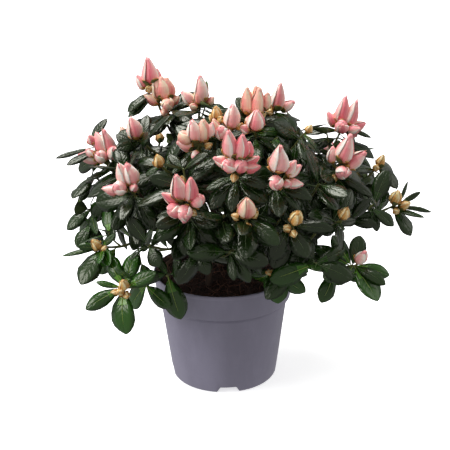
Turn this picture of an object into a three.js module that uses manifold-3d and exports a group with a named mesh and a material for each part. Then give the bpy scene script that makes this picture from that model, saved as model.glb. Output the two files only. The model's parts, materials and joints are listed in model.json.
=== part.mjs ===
// A pot-grown azalea shrub in bud: a low flared plastic pot, a mound of peat, a short forking trunk with a
// second thin stem beside it, tapering boughs, and masses of foliage whose shoots end in whorls of leathery
// leaves round clusters of pointed flower buds.
// Millimetres, +Z up. The origin is the centre of the pot's flat underside, and the front faces -Y.
// A bearing is an angle round the pot, 0 at the front and 90 towards +X. A climb is an angle up the crown.
import * as THREE from 'three';
import { mergeVertices } from 'three/addons/utils/BufferGeometryUtils.js';
import Module from 'manifold-3d';

const wasm = await Module();
wasm.setup();

// Driving dimensions
const pot = {
  rimRadius: 65, bandFootRadius: 61.6, neckRadius: 59.2, baseRadius: 49.3,
  height: 104, bandHeight: 24, wall: 1.6, lip: 1.2, sides: 32,
  hubRadius: 24, hubDraft: 2, floorLift: 5, floorTop: 6.6, ringWidth: 3.8, draft: 1, footBevel: [1, 1.5],
  bandStep: 0.6, rimBevel: 0.5, insideStep: 1.5, insideFillet: 0.7,
  notches: 4, notchBearing: 4, notchWidth: 21, notchTopWidth: 15.5, notchHeight: 4.8, notchReach: 6,
  drains: 8, drainRadius: 4, drainCircle: 34, drillLength: 8, drillSides: 8,
};
const peat = {
  edgeDrop: 5, seatRadius: 13, seatHeight: 111, sides: 24, rings: [0.5, 0.72, 0.9],
  footInset: 0.2, neckInset: 0.7, neckDrop: 2, rimInset: 0.4,
  lumpBearing: -98, lumpCircle: 47, lumpHeight: 13, lumpSpread: 15,
};
const crown = { centre: new THREE.Vector3(15, 5, 130), radii: new THREE.Vector3(142, 135, 135) };
const trunk = {
  footRadius: 8.5, forkRadius: 5.6, flare: 3.2, flareHeight: 9, height: 34, lean: [3, 2], sides: 10,
  middleLean: [0.3, 0.4], flareEnd: 0.4, waist: 0.85, capHeight: 2, capShare: 0.55,
};
const sideStem = {
  bearing: -19, circle: 40, footRadius: 3.2, tipRadius: 2.3, height: 36, lean: [2, 12], sunk: 2, steps: 4,
};
const bough = {
  footRadius: 3.3, childFootRadius: 2.5, tipRadius: 1.8, sides: 5, steps: 5, entry: 0.47, arch: [0.7, 7],
  lowest: 0.42, climbToTop: 150, levels: { side_stem: 0.95, front_left: 0.42 },
};
const shoot = {
  stemRadius: 1.7, forkRadius: 1.5, tipRadius: 1.1, steps: 3, stemShare: 0.3, bend: 0.3, bendFrom: 0.6,
  uprightness: 1.6, stemSides: 5, sides: 3, overlap: 0.02,
};
const leaf = {
  length: 39, width: 0.43, widthScatter: [0.92, 1.08], thickness: 0.045, widest: 0.58, camber: 0.08,
  rootDepth: 0.2,
};
// Spots of a leaf that are tested for room: shares of its half width, its length and its camber
const leafSpots = [
  [0, 0.3, 0.5], [0, 0.6, 1], [0, 0.8, 0.6], [0, 1, 0], [1, 0.6, 1], [-1, 0.6, 1],
  [0.6, 0.4, 0.8], [-0.6, 0.4, 0.8], [0.5, 0.8, 0.5], [-0.5, 0.8, 0.5],
];
const whorl = {
  leaves: 8, lowerLeaves: 2, upright: 50, underBuds: 72, level: 100, turn: 137.5, pitch: 1.4,
  lowerPitch: 10, budDepth: 4, tipDepth: 0.5, crossing: 0.03, scatter: [-4, 8], lowerTilt: [62, 96],
  length: [0.86, 1.1], lowerLength: [0.7, 0.95],
  nudges: [[0, 0], [-12, 12], [12, -12], [-24, -20], [22, 20], [-36, 8], [-8, 32], [-8, -32]],
};
const tall = { length: 31, radius: 7.6 };
const short = { length: 22, radius: 6.4 };
const tight = { length: 15, radius: 4.6 };
const bunch = {
  sides: 5, widest: 0.36, pairLean: 14, pairOff: 2, loneLean: 4, sink: 4.5,
  outerLean: [50, 64], outerSink: 3,
};
const gap = { seat: 0.3, stem: 0.8, space: 0.5, limb: 0.8, pot: 1.5 };

// How many buds each kind of shoot bears: upright ones in the middle, shorter ones leaning out round them
const blooms = {
  full: { middle: 2, round: 2, bud: tall, outer: short },
  single: { middle: 1, round: 1, bud: tall, outer: tight },
  tight: { middle: 1, round: 0, bud: tight, outer: tight },
  none: { middle: 0, round: 0, bud: tight, outer: tight },
};

// The masses of foliage. Each has one main shoot, at a bearing and climb on the crown and a reach that is a
// share of the crown's radii, and side shoots at [turn from uphill, distance off, reach, bloom].
// from names the bough that carries its bough: another mass's, the trunk or the side stem.
const masses = [
  { name: 'crown_left', from: 'trunk', bearing: -113, climb: 61, reach: 1.03, bloom: 'full',
    sides: [[180, 3, 1.2, 'single'], [-7, 35, 1, 'single'], [105, 56, 1, 'single']] },
  { name: 'crown_right', from: 'trunk', bearing: 16, climb: 74, reach: 1, bloom: 'full',
    sides: [[54, 36, 1, 'full'], [-173, 22, 1, 'single'], [119, 51, 1, 'tight'],
      [70, 74, 0.85, 'none']] },
  { name: 'front_top', from: 'trunk', bearing: -27, climb: 58, reach: 1, bloom: 'full',
    sides: [[41, 25, 1, 'full'], [3, 34, 1, 'tight'], [-179, 44, 1, 'tight'], [-135, 39, 1, 'tight']] },
  { name: 'front_centre', from: 'trunk', bearing: -2, climb: 46, reach: 1, bloom: 'full',
    sides: [[101, 37, 1, 'full'], [167, 39, 1, 'single'], [131, 69, 1, 'tight'],
      [-175, 74, 0.95, 'none']] },
  { name: 'front_low_left', from: 'side_stem', bearing: -21, climb: 31, reach: 1, bloom: 'full',
    sides: [[157, 35, 0.96, 'none'], [-133, 50, 0.97, 'none'], [85, 30, 0.92, 'none']] },
  { name: 'front_left', from: 'trunk', bearing: -52, climb: 34, reach: 1, bloom: 'full',
    sides: [[-68, 38, 0.95, 'none'], [-159, 68, 1, 'tight']] },
  { name: 'shoulder_left', from: 'trunk', bearing: -95, climb: 33, reach: 0.98, bloom: 'full',
    sides: [[-6, 7, 1.16, 'tight'], [-176, 17, 1.06, 'none'], [159, 47, 1, 'none']] },
  { name: 'foot_left', from: 'front_left', bearing: -46, climb: -2, reach: 1, bloom: 'tight',
    sides: [[77, 24, 0.75, 'none']] },
  { name: 'shoulder_right', from: 'trunk', bearing: 58, climb: 42, reach: 0.95, bloom: 'full',
    sides: [[65, 81, 1.03, 'full'], [-135, 57, 1, 'tight'], [-170, 50, 0.9, 'none'],
      [-95, 34, 0.95, 'none']] },
  { name: 'side_right', from: 'trunk', bearing: 86, climb: 15, reach: 1.04, bloom: 'tight',
    sides: [[21, 41, 1.04, 'tight'], [-62, 36, 0.94, 'none']] },
  { name: 'foot_right', from: 'trunk', bearing: 44, climb: 6, reach: 0.99, bloom: 'single',
    sides: [[-73, 44, 0.98, 'none'], [-103, 61, 0.6, 'tight'], [-42, 52, 0.95, 'none']] },
  { name: 'back_crown', from: 'trunk', bearing: 165, climb: 52, reach: 0.87, bloom: 'tight',
    sides: [[80, 40, 0.86, 'none'], [-75, 40, 0.86, 'single']] },
  { name: 'back_right', from: 'trunk', bearing: 128, climb: 30, reach: 0.98, bloom: 'full',
    sides: [[80, 38, 0.95, 'full'], [-75, 36, 1, 'single'], [170, 42, 0.96, 'tight'],
      [-145, 52, 1, 'none']] },
  { name: 'back', from: 'trunk', bearing: 176, climb: 28, reach: 0.97, bloom: 'full',
    sides: [[165, 44, 0.93, 'single'], [-120, 46, 0.95, 'tight'], [120, 44, 0.94, 'none']] },
  { name: 'back_left', from: 'trunk', bearing: -138, climb: 30, reach: 0.97, bloom: 'full',
    sides: [[-75, 38, 0.95, 'tight'], [75, 40, 0.95, 'single'], [-165, 42, 0.95, 'none'],
      [145, 50, 0.97, 'tight']] },
];

const smallestEdge = 0.15; // shorter edges are slivers left by joining
const degrees = THREE.MathUtils.degToRad;
const up = new THREE.Vector3(0, 0, 1);

// Repeatable chance: each seed gives its own run of numbers from 0 to 1
function dice(seed) {
  let state = Math.imul(seed + 1, 2654435761) >>> 0;
  return () => {
    state = (Math.imul(state, 1664525) + 1013904223) >>> 0;
    return state / 4294967296;
  };
}

function mix(random, low, high) {
  return low + (high - low) * random();
}

// A horizontal direction at a bearing
function outward(bearing) {
  return new THREE.Vector3(Math.sin(degrees(bearing)), -Math.cos(degrees(bearing)), 0);
}

// A closed geometry as a solid, and a solid as a geometry
function solid(geometry) {
  const bare = geometry.clone();
  bare.deleteAttribute('normal');
  bare.deleteAttribute('uv');
  const merged = mergeVertices(bare, 1e-4);
  return new wasm.Manifold(new wasm.Mesh({
    numProp: 3,
    vertProperties: merged.attributes.position.array,
    triVerts: new Uint32Array(merged.index.array),
  }));
}

function geometryOf(body) {
  const mesh = body.getMesh();
  const geometry = new THREE.BufferGeometry();
  geometry.setAttribute('position', new THREE.BufferAttribute(mesh.vertProperties, 3));
  geometry.setIndex(new THREE.BufferAttribute(mesh.triVerts, 1));
  geometry.computeVertexNormals();
  return geometry;
}

// The largest body of a solid, without its slivers and the scraps that they leave
function largestOf(body) {
  return body.decompose().sort((a, b) => b.volume() - a.volume())[0];
}

function largest(body) {
  return largestOf(largestOf(body).simplify(smallestEdge));
}

// A solid of revolution about +Z from a profile of [radius, height] pairs
function turned(profile, sides) {
  const points = profile.map(([r, z]) => new THREE.Vector2(r, z));
  return new THREE.LatheGeometry(points, sides).rotateX(Math.PI / 2);
}

// A tapering limb: a straight cylinder, each ring of which is moved to its place on the curve
function limb(curve, footRadius, tipRadius, sides, steps) {
  const geometry = new THREE.CylinderGeometry(tipRadius, footRadius, 1, sides, steps);
  const frames = curve.computeFrenetFrames(steps);
  const position = geometry.attributes.position;
  for (let i = 0; i < position.count; i++) {
    const ring = Math.round((position.getY(i) + 0.5) * steps);
    const at = curve.getPointAt(ring / steps)
      .addScaledVector(frames.binormals[ring], position.getX(i))
      .addScaledVector(frames.normals[ring], position.getZ(i));
    position.setXYZ(i, at.x, at.y, at.z);
  }
  return geometry;
}

// The pot: an upright taper under a flared band, on a ring and a hub with a raised channel between them
function potSolid() {
  const bandFoot = pot.height - pot.bandHeight;
  const ringInner = pot.baseRadius - pot.ringWidth;
  const profile = [
    [0, 0], [pot.hubRadius, 0], [pot.hubRadius + pot.hubDraft, pot.floorLift],
    [ringInner - pot.draft, pot.floorLift], [ringInner, 0],
    [pot.baseRadius - pot.footBevel[0], 0], [pot.baseRadius, pot.footBevel[1]],
    [pot.neckRadius, bandFoot - pot.bandStep], [pot.bandFootRadius, bandFoot],
    [pot.rimRadius, pot.height - pot.lip], [pot.rimRadius - pot.rimBevel, pot.height],
    [pot.rimRadius - pot.wall, pot.height],
    [pot.bandFootRadius - pot.wall, bandFoot + pot.insideStep],
    [pot.neckRadius - pot.wall, bandFoot - pot.insideStep],
    [pot.baseRadius - pot.wall + pot.insideFillet, pot.floorTop], [0, pot.floorTop],
  ];
  let body = solid(turned(profile, pot.sides));
  const notch = new THREE.Shape([
    new THREE.Vector2(-pot.notchWidth / 2, -1), new THREE.Vector2(pot.notchWidth / 2, -1),
    new THREE.Vector2(pot.notchTopWidth / 2, pot.notchHeight),
    new THREE.Vector2(-pot.notchTopWidth / 2, pot.notchHeight),
  ]);
  for (let i = 0; i < pot.notches; i++) {
    const cut = new THREE.ExtrudeGeometry(notch, { depth: 2 * pot.notchReach, bevelEnabled: false })
      .rotateX(Math.PI / 2)
      .translate(0, pot.notchReach - pot.baseRadius, 0)
      .rotateZ(degrees(pot.notchBearing + (360 / pot.notches) * i));
    body = body.subtract(solid(cut));
  }
  for (let i = 0; i < pot.drains; i++) {
    const spot = outward(((i + 0.5) * 360) / pot.drains).multiplyScalar(pot.drainCircle);
    const drill = new THREE.CylinderGeometry(
      pot.drainRadius, pot.drainRadius, pot.drillLength, pot.drillSides)
      .rotateX(Math.PI / 2)
      .translate(spot.x, spot.y, (pot.floorLift + pot.floorTop) / 2);
    body = body.subtract(solid(drill));
  }
  return body;
}

// Height of the peat at a place: a flat seat for the trunk, a slope to the wall, and a lump at one side
function peatHeight(x, y) {
  const radius = Math.hypot(x, y);
  const edge = pot.height - peat.edgeDrop;
  const slope = Math.min(1, Math.max(0, (radius - peat.seatRadius) / (pot.rimRadius - peat.seatRadius)));
  const lump = outward(peat.lumpBearing).multiplyScalar(peat.lumpCircle);
  const off = Math.hypot(x - lump.x, y - lump.y) / peat.lumpSpread;
  const lumpShare = Math.exp(-off * off / 2) * slope;
  return peat.seatHeight + (edge - peat.seatHeight) * slope + peat.lumpHeight * lumpShare;
}

function innerRadius(z) {
  const bandFoot = pot.height - pot.bandHeight;
  const share = (z - bandFoot) / pot.bandHeight;
  const inside = pot.bandFootRadius + (pot.rimRadius - pot.bandFootRadius) * share - pot.wall;
  return inside - gap.seat - peat.rimInset;
}

function peatSolid() {
  const bandFoot = pot.height - pot.bandHeight;
  const edge = pot.height - peat.edgeDrop;
  const rim = innerRadius(edge);
  const profile = [
    [0, pot.floorTop + gap.seat], [pot.baseRadius - pot.wall - peat.footInset, pot.floorTop + gap.seat],
    [pot.neckRadius - pot.wall - peat.neckInset, bandFoot - peat.neckDrop], [rim, edge],
    ...peat.rings.map((share) => [rim * share, edge + 1]).reverse(),
    [peat.seatRadius, edge + 1], [0, edge + 1],
  ];
  const geometry = turned(profile, peat.sides);
  const position = geometry.attributes.position;
  for (let i = 0; i < position.count; i++) {
    if (position.getZ(i) < edge - 0.5) continue;
    position.setZ(i, peatHeight(position.getX(i), position.getY(i)));
  }
  return solid(geometry);
}

// The stems that stand in the peat
const ground = peat.seatHeight;
const trunkCurve = new THREE.CatmullRomCurve3([
  new THREE.Vector3(0, 0, ground),
  new THREE.Vector3(trunk.lean[0] * trunk.middleLean[0], trunk.lean[1] * trunk.middleLean[1],
    ground + trunk.height / 2),
  new THREE.Vector3(trunk.lean[0], trunk.lean[1], ground + trunk.height),
]);

function trunkGeometry(extra) {
  const profile = [
    [0, 0], [trunk.footRadius + trunk.flare + extra, 0],
    [trunk.footRadius + extra, trunk.flareHeight * trunk.flareEnd],
    [trunk.footRadius * trunk.waist + extra, trunk.flareHeight],
    [trunk.forkRadius + extra, trunk.height - trunk.capHeight],
    [trunk.forkRadius * trunk.capShare + extra, trunk.height + extra],
    [0, trunk.height + extra],
  ];
  const geometry = turned(profile, trunk.sides);
  const position = geometry.attributes.position;
  for (let i = 0; i < position.count; i++) {
    const share = Math.min(1, position.getZ(i) / trunk.height);
    const lean = share * share;
    position.setXYZ(i, position.getX(i) + trunk.lean[0] * lean, position.getY(i) + trunk.lean[1] * lean,
      position.getZ(i) + ground);
  }
  return geometry;
}

const sideFoot = outward(sideStem.bearing).multiplyScalar(sideStem.circle);
const sideCurve = new THREE.CatmullRomCurve3([0, 0.5, 1].map((t) => new THREE.Vector3(
  sideFoot.x + sideStem.lean[0] * t * t,
  sideFoot.y + sideStem.lean[1] * t * t,
  peatHeight(sideFoot.x, sideFoot.y) - sideStem.sunk + sideStem.height * t,
)));

// A place on the crown, and the head of a shoot there, which turns upwards
function onCrown(bearing, climb, reach) {
  const way = outward(bearing).multiplyScalar(Math.cos(degrees(climb)))
    .addScaledVector(up, Math.sin(degrees(climb)));
  return way.multiply(crown.radii).multiplyScalar(reach).add(crown.centre);
}

function headAt(tip, bloom) {
  const away = tip.clone().sub(crown.centre).divide(crown.radii).normalize();
  return { tip, bloom, axis: away.addScaledVector(up, shoot.uprightness).normalize() };
}

function headsOf(mass) {
  const main = onCrown(mass.bearing, mass.climb, mass.reach);
  const across = new THREE.Vector3(Math.cos(degrees(mass.bearing)), Math.sin(degrees(mass.bearing)), 0);
  const uphill = outward(mass.bearing).multiplyScalar(-Math.sin(degrees(mass.climb)))
    .addScaledVector(up, Math.cos(degrees(mass.climb)));
  const side = mass.sides.map(([turn, distance, reach, bloom]) => {
    const tip = main.clone()
      .addScaledVector(across, distance * Math.sin(degrees(turn)))
      .addScaledVector(uphill, distance * Math.cos(degrees(turn)));
    const off = tip.sub(crown.centre);
    off.multiplyScalar(reach / off.clone().divide(crown.radii).length());
    return headAt(off.add(crown.centre), bloom);
  });
  return [headAt(main, mass.bloom), ...side];
}

// Boughs: each rises from the trunk, the side stem or another bough, and ends where its mass begins
const carriers = new Map([['trunk', trunkCurve], ['side_stem', sideCurve]]);
const plans = masses.map((mass, index) => {
  const random = dice(index);
  const heads = headsOf(mass);
  const middleOf = heads.reduce((sum, head) => sum.add(head.tip), new THREE.Vector3());
  const centroid = middleOf.divideScalar(heads.length);
  const carrier = carriers.get(mass.from);
  const onTrunk = mass.from === 'trunk';
  const level = onTrunk ? bough.lowest + mass.climb / bough.climbToTop : bough.levels[mass.from];
  const foot = carrier.getPointAt(level);
  const tip = foot.clone().lerp(centroid, bough.entry);
  const arch = mix(random, ...bough.arch) * (onTrunk ? -1 : 1);
  const middle = foot.clone().lerp(tip, 0.5).addScaledVector(up, arch);
  const curve = new THREE.CatmullRomCurve3([foot, middle, tip]);
  carriers.set(mass.name, curve);
  const footRadius = onTrunk ? bough.footRadius : bough.childFootRadius;
  return { ...mass, index, heads, centroid, curve, footRadius };
});

// Shoots: a stem goes on from the bough's tip and forks to each head, and each shoot bends up to its axis
for (const plan of plans) {
  const along = plan.curve.getTangentAt(1);
  plan.root = plan.curve.getPointAt(1).addScaledVector(along, gap.stem);
  plan.fork = plan.root.clone().lerp(plan.centroid, shoot.stemShare);
  plan.twigs = plan.heads.map((head) => {
    const length = head.tip.distanceTo(plan.fork);
    const under = head.tip.clone().addScaledVector(head.axis, -shoot.bend * length);
    return new THREE.CatmullRomCurve3([plan.fork, plan.fork.clone().lerp(under, shoot.bendFrom), head.tip]);
  });
  plan.paths = plan.twigs.map((curve) => curve.getSpacedPoints(shoot.steps));
  plan.lines = [[plan.root, plan.fork], ...plan.paths];
}

// Distance from a point to a chain of points
const nearest = new THREE.Vector3();
const piece = new THREE.Line3();
function distanceToLine(point, line) {
  let least = Infinity;
  for (let i = 1; i < line.length; i++) {
    piece.set(line[i - 1], line[i]).closestPointToPoint(point, true, nearest);
    least = Math.min(least, nearest.distanceTo(point));
  }
  return least;
}

const limbLines = [
  { radius: trunk.footRadius, points: trunkCurve.getSpacedPoints(sideStem.steps) },
  { radius: sideStem.footRadius, points: sideCurve.getSpacedPoints(sideStem.steps) },
  ...plans.map((plan) => ({ radius: plan.footRadius, points: plan.curve.getSpacedPoints(bough.steps) })),
];

function distanceToMass(point, plan) {
  return Math.min(...plan.lines.map((line) => distanceToLine(point, line)));
}

// A point is in a mass's own space when its shoots are the nearest, and no limb, peat or pot is in the way
function inOwnSpace(point, plan) {
  const radius = Math.hypot(point.x, point.y);
  if (radius < pot.rimRadius + gap.pot && point.z < pot.height + gap.pot) return false;
  if (radius < pot.rimRadius && point.z < peatHeight(point.x, point.y) + gap.pot) return false;
  if (limbLines.some((line) => distanceToLine(point, line.points) < line.radius + gap.limb)) return false;
  const own = distanceToMass(point, plan) + gap.space;
  return plans.every((other) => other === plan || distanceToMass(point, other) > own);
}

// A leaf of six faces: a root, a tip, two shoulders and a ridge between them, arched over its length
function leafGeometry(length, random) {
  const profile = [[0, 0], [1, leaf.widest], [0, 1]].map(([r, y]) => new THREE.Vector2(r, y));
  const geometry = new THREE.LatheGeometry(profile, 3);
  const position = geometry.attributes.position;
  const width = length * leaf.width * mix(random, ...leaf.widthScatter);
  for (let i = 0; i < position.count; i++) {
    const arch = 1 - Math.abs(position.getY(i) - leaf.widest) / leaf.widest;
    position.setXYZ(i, position.getX(i) * width / Math.sqrt(3), position.getY(i) * length,
      (position.getZ(i) * leaf.thickness / 1.5 + Math.max(0, arch) ** 2 * leaf.camber) * length);
  }
  return geometry;
}

// Leaf root, direction and upper side as a frame
function frameOf(root, along, upper) {
  const x = along.clone().cross(upper).normalize();
  return new THREE.Matrix4().makeBasis(x, along, x.clone().cross(along)).setPosition(root);
}

function leafSamples(length, frame) {
  const half = length * leaf.width / 2;
  const high = length * leaf.camber;
  return leafSpots.map(([x, y, z]) => (
    new THREE.Vector3(x * half, y * length, z * high).applyMatrix4(frame)));
}

// One leaf on a shoot. If it would leave its mass's space, or cross a bud or a leaf already there, it is
// turned a little and tried again, and at last left out.
function leafOn(path, depth, turn, tilt, length, plan, others, random) {
  const stepLength = path[0].distanceTo(path[1]);
  const back = Math.min(depth / stepLength, shoot.steps - 0.1);
  const step = Math.ceil(shoot.steps - back);
  const axis = path[step].clone().sub(path[step - 1]).normalize();
  const root = path[step].clone().lerp(path[step - 1], step - (shoot.steps - back));
  const across = new THREE.Vector3(1, 0, 0).projectOnPlane(axis).normalize();
  for (const [higher, round] of whorl.nudges) {
    const angle = degrees(tilt + higher);
    const side = across.clone().applyAxisAngle(axis, degrees(turn + round));
    const along = axis.clone().multiplyScalar(Math.cos(angle)).addScaledVector(side, Math.sin(angle));
    const frame = frameOf(root.clone().addScaledVector(along, -leaf.rootDepth), along, axis);
    if (!leafSamples(length, frame).every((point) => inOwnSpace(point, plan))) continue;
    const blade = solid(leafGeometry(length, random).applyMatrix4(frame));
    if (others.every((other) => other.intersect(blade).volume() < whorl.crossing)) return blade;
  }
  return null;
}

// A closed bud: five-sided, full below the middle and drawn out to a point
function budGeometry({ length, radius }) {
  return turned([[0, 0], [radius, length * bunch.widest], [0, length]], bunch.sides);
}

function budsOn(head, plan, random) {
  const bloom = blooms[head.bloom];
  const across = new THREE.Vector3(1, 0, 0).projectOnPlane(head.axis).normalize();
  const first = mix(random, 0, 360);
  const made = [];
  const add = (kind, turn, lean, off, sink) => {
    const side = across.clone().applyAxisAngle(head.axis, degrees(turn));
    const along = head.axis.clone().multiplyScalar(Math.cos(degrees(lean)))
      .addScaledVector(side, Math.sin(degrees(lean)));
    const foot = head.tip.clone().addScaledVector(side, off).addScaledVector(head.axis, -sink);
    const frame = new THREE.Matrix4().makeRotationFromQuaternion(
      new THREE.Quaternion().setFromUnitVectors(up, along)).setPosition(foot);
    const ends = [0.5, 1].map((t) => foot.clone().addScaledVector(along, t * kind.length));
    if (!ends.every((point) => inOwnSpace(point, plan))) return;
    made.push(solid(budGeometry(kind).applyMatrix4(frame)));
  };
  const paired = bloom.middle > 1;
  for (let i = 0; i < bloom.middle; i++) {
    add(bloom.bud, first + i * 180, paired ? bunch.pairLean : bunch.loneLean, paired ? bunch.pairOff : 0,
      bunch.sink);
  }
  for (let i = 0; i < bloom.round; i++) {
    add(bloom.outer, first + 90 + (i * 360) / bloom.round, mix(random, ...bunch.outerLean), 0,
      bunch.outerSink);
  }
  return made;
}

// A mass of foliage: stem, shoots, leaves and buds fused into one body
function foliage(plan) {
  const random = dice(100 + plan.index);
  const stem = new THREE.LineCurve3(plan.root, plan.fork.clone().lerp(plan.root, -shoot.overlap));
  const wood = [
    solid(limb(stem, shoot.stemRadius, shoot.forkRadius, shoot.stemSides, 1)),
    ...plan.twigs.map((curve) => solid(
      limb(curve, shoot.forkRadius, shoot.tipRadius, shoot.sides, shoot.steps))),
  ];
  const grown = plan.heads.flatMap((head) => budsOn(head, plan, random));
  plan.paths.forEach((path, number) => {
    const firstTurn = mix(random, 0, 360);
    const budded = blooms[plan.heads[number].bloom].middle > 0;
    const steepest = budded ? whorl.underBuds : whorl.upright;
    const top = budded ? whorl.budDepth : whorl.tipDepth;
    const notOnTwig = [...grown, ...wood.filter((_, i) => i !== number + 1)];
    for (let i = 0; i < whorl.leaves + whorl.lowerLeaves; i++) {
      const below = i - whorl.leaves;
      const share = i / whorl.leaves;
      const spread = Math.min(i, whorl.leaves) * whorl.pitch;
      const depth = top + spread + Math.max(0, below + 1) * whorl.lowerPitch;
      const tilt = below < 0
        ? steepest + (whorl.level - steepest) * share + mix(random, ...whorl.scatter)
        : mix(random, ...whorl.lowerTilt);
      const length = leaf.length * mix(random, ...(below < 0 ? whorl.length : whorl.lowerLength));
      const made = leafOn(path, depth, firstTurn + i * whorl.turn, tilt, length, plan, notOnTwig, random);
      if (!made) continue;
      grown.push(made);
      notOnTwig.push(made);
    }
  });
  return largest(wasm.Manifold.union([...wood, ...grown]));
}

// Colours and finishes
const looks = {
  pot: new THREE.MeshStandardMaterial({ color: 0x77737f, roughness: 0.5 }),
  peat: new THREE.MeshStandardMaterial({ color: 0x1d1411, roughness: 0.95 }),
  bark: new THREE.MeshStandardMaterial({ color: 0x4a3529, roughness: 0.85 }),
  foliage: new THREE.MeshStandardMaterial({ color: 0x1f3320, roughness: 0.35 }),
};

const azalea = new THREE.Group();
azalea.name = 'azalea_shrub';

function add(name, geometry, material) {
  const mesh = new THREE.Mesh(geometry, material);
  mesh.name = name;
  azalea.add(mesh);
}

add('pot', geometryOf(potSolid()), looks.pot);
const mound = peatSolid();
add('peat', geometryOf(mound), looks.peat);

// Limbs are made in order, each cut 0.3 mm clear of the peat and of those before it
let taken = solid(trunkGeometry(gap.seat)).add(mound.translate(0, 0, gap.seat));
add('trunk', geometryOf(solid(trunkGeometry(0))), looks.bark);

function addLimb(name, curve, footRadius, tipRadius, steps) {
  const body = largest(solid(limb(curve, footRadius, tipRadius, bough.sides, steps)).subtract(taken));
  taken = taken.add(solid(limb(curve, footRadius + gap.seat, tipRadius + gap.seat, bough.sides, steps)));
  add(name, geometryOf(body), looks.bark);
}

addLimb('side_stem', sideCurve, sideStem.footRadius, sideStem.tipRadius, sideStem.steps);
for (const plan of plans) {
  addLimb('bough_' + plan.name, plan.curve, plan.footRadius, bough.tipRadius, bough.steps);
}
for (const plan of plans) {
  add('foliage_' + plan.name, geometryOf(foliage(plan)), looks.foliage);
}

export default azalea;
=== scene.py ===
import json
import math

import bpy
import numpy as np
from mathutils import Matrix, Quaternion, Vector, noise

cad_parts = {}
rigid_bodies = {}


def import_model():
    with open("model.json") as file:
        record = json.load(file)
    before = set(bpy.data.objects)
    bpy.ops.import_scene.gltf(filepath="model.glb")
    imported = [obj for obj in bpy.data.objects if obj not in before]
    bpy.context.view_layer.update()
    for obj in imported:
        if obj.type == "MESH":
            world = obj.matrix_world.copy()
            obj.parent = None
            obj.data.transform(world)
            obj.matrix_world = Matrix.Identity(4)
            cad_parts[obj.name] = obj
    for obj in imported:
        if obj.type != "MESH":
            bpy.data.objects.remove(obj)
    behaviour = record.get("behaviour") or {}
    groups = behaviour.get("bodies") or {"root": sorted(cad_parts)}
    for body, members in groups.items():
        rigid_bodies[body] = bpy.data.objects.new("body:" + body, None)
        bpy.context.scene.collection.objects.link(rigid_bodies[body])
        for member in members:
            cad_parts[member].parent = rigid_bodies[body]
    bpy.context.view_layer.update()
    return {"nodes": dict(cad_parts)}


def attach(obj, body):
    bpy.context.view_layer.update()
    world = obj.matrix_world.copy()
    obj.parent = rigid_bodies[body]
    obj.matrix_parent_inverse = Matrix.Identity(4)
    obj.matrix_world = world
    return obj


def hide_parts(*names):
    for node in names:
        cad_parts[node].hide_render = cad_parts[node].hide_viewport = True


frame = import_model()
print("frame:", len(frame["nodes"]), "nodes loaded")

# Sizes are in millimetres, as in the part's own source, and become metres when a mesh is made.
# The origin is under the pot's middle, +Z is up and -Y is the front. A bearing is an angle round
# the pot, 0 at the front and 90 towards +X, and a climb is an angle up the crown.
mm = 0.001
up = Vector((0, 0, 1))
front = Vector((0, -1, 0))
rightward = Vector((1, 0, 0))
scene = bpy.context.scene
foliageNodes = sorted(name for name in frame["nodes"] if name.startswith("foliage_"))
boughNodes = sorted(name for name in frame["nodes"] if name.startswith("bough_"))

# Camera at the photograph's angle
photoCamera = {
    "aim": (2.1, 0.0, 147.5),
    "distance": 1000.0,
    "elevation": 20.9,
    "roll": -0.7,
    "focalPixels": 1087.0,
    "imagePixels": 450.0,
    "sensorWidth": 36.0,
}


def makeCamera(view):
    tilt = math.radians(view["elevation"])
    roll = math.radians(view["roll"])
    forward = Vector((0, math.cos(tilt), -math.sin(tilt)))
    upright = rightward.cross(forward)
    right = rightward * math.cos(roll) + upright * math.sin(roll)
    top = upright * math.cos(roll) - rightward * math.sin(roll)
    lens = bpy.data.cameras.new("photo_camera")
    lens.sensor_width = view["sensorWidth"]
    lens.lens = view["focalPixels"] / view["imagePixels"] * view["sensorWidth"]
    camera = bpy.data.objects.new("photo_camera", lens)
    camera.matrix_world = Matrix((right, top, -forward)).transposed().to_4x4()
    camera.location = (Vector(view["aim"]) - forward * view["distance"]) * mm
    scene.collection.objects.link(camera)
    scene.camera = camera


makeCamera(photoCamera)
print("camera: set at the photograph's angle")


# Colour codes are written as seen on a screen, and shaders take them as linear light
def paint(code):
    channels = [int(code[i:i + 2], 16) / 255 for i in (1, 3, 5)]
    linear = [c / 12.92 if c <= 0.04045 else ((c + 0.055) / 1.055) ** 2.4 for c in channels]
    return (*linear, 1.0)


def addNode(tree, kind, inputs=None, **settings):
    node = tree.nodes.new(kind)
    for name, value in settings.items():
        setattr(node, name, value)
    for name, value in (inputs or {}).items():
        node.inputs[name].default_value = value
    return node


def linker(tree):
    def link(source, output, target, entry):
        tree.links.new(source.outputs[output], target.inputs[entry])

    return link


def addGroup(name, inputs, outputs):
    tree = bpy.data.node_groups.new(name, "ShaderNodeTree")
    for label, (kind, value) in inputs.items():
        tree.interface.new_socket(label, in_out="INPUT", socket_type=kind).default_value = value
    for label, kind in outputs.items():
        tree.interface.new_socket(label, in_out="OUTPUT", socket_type=kind)
    return tree, tree.nodes.new("NodeGroupInput"), tree.nodes.new("NodeGroupOutput")


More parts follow.
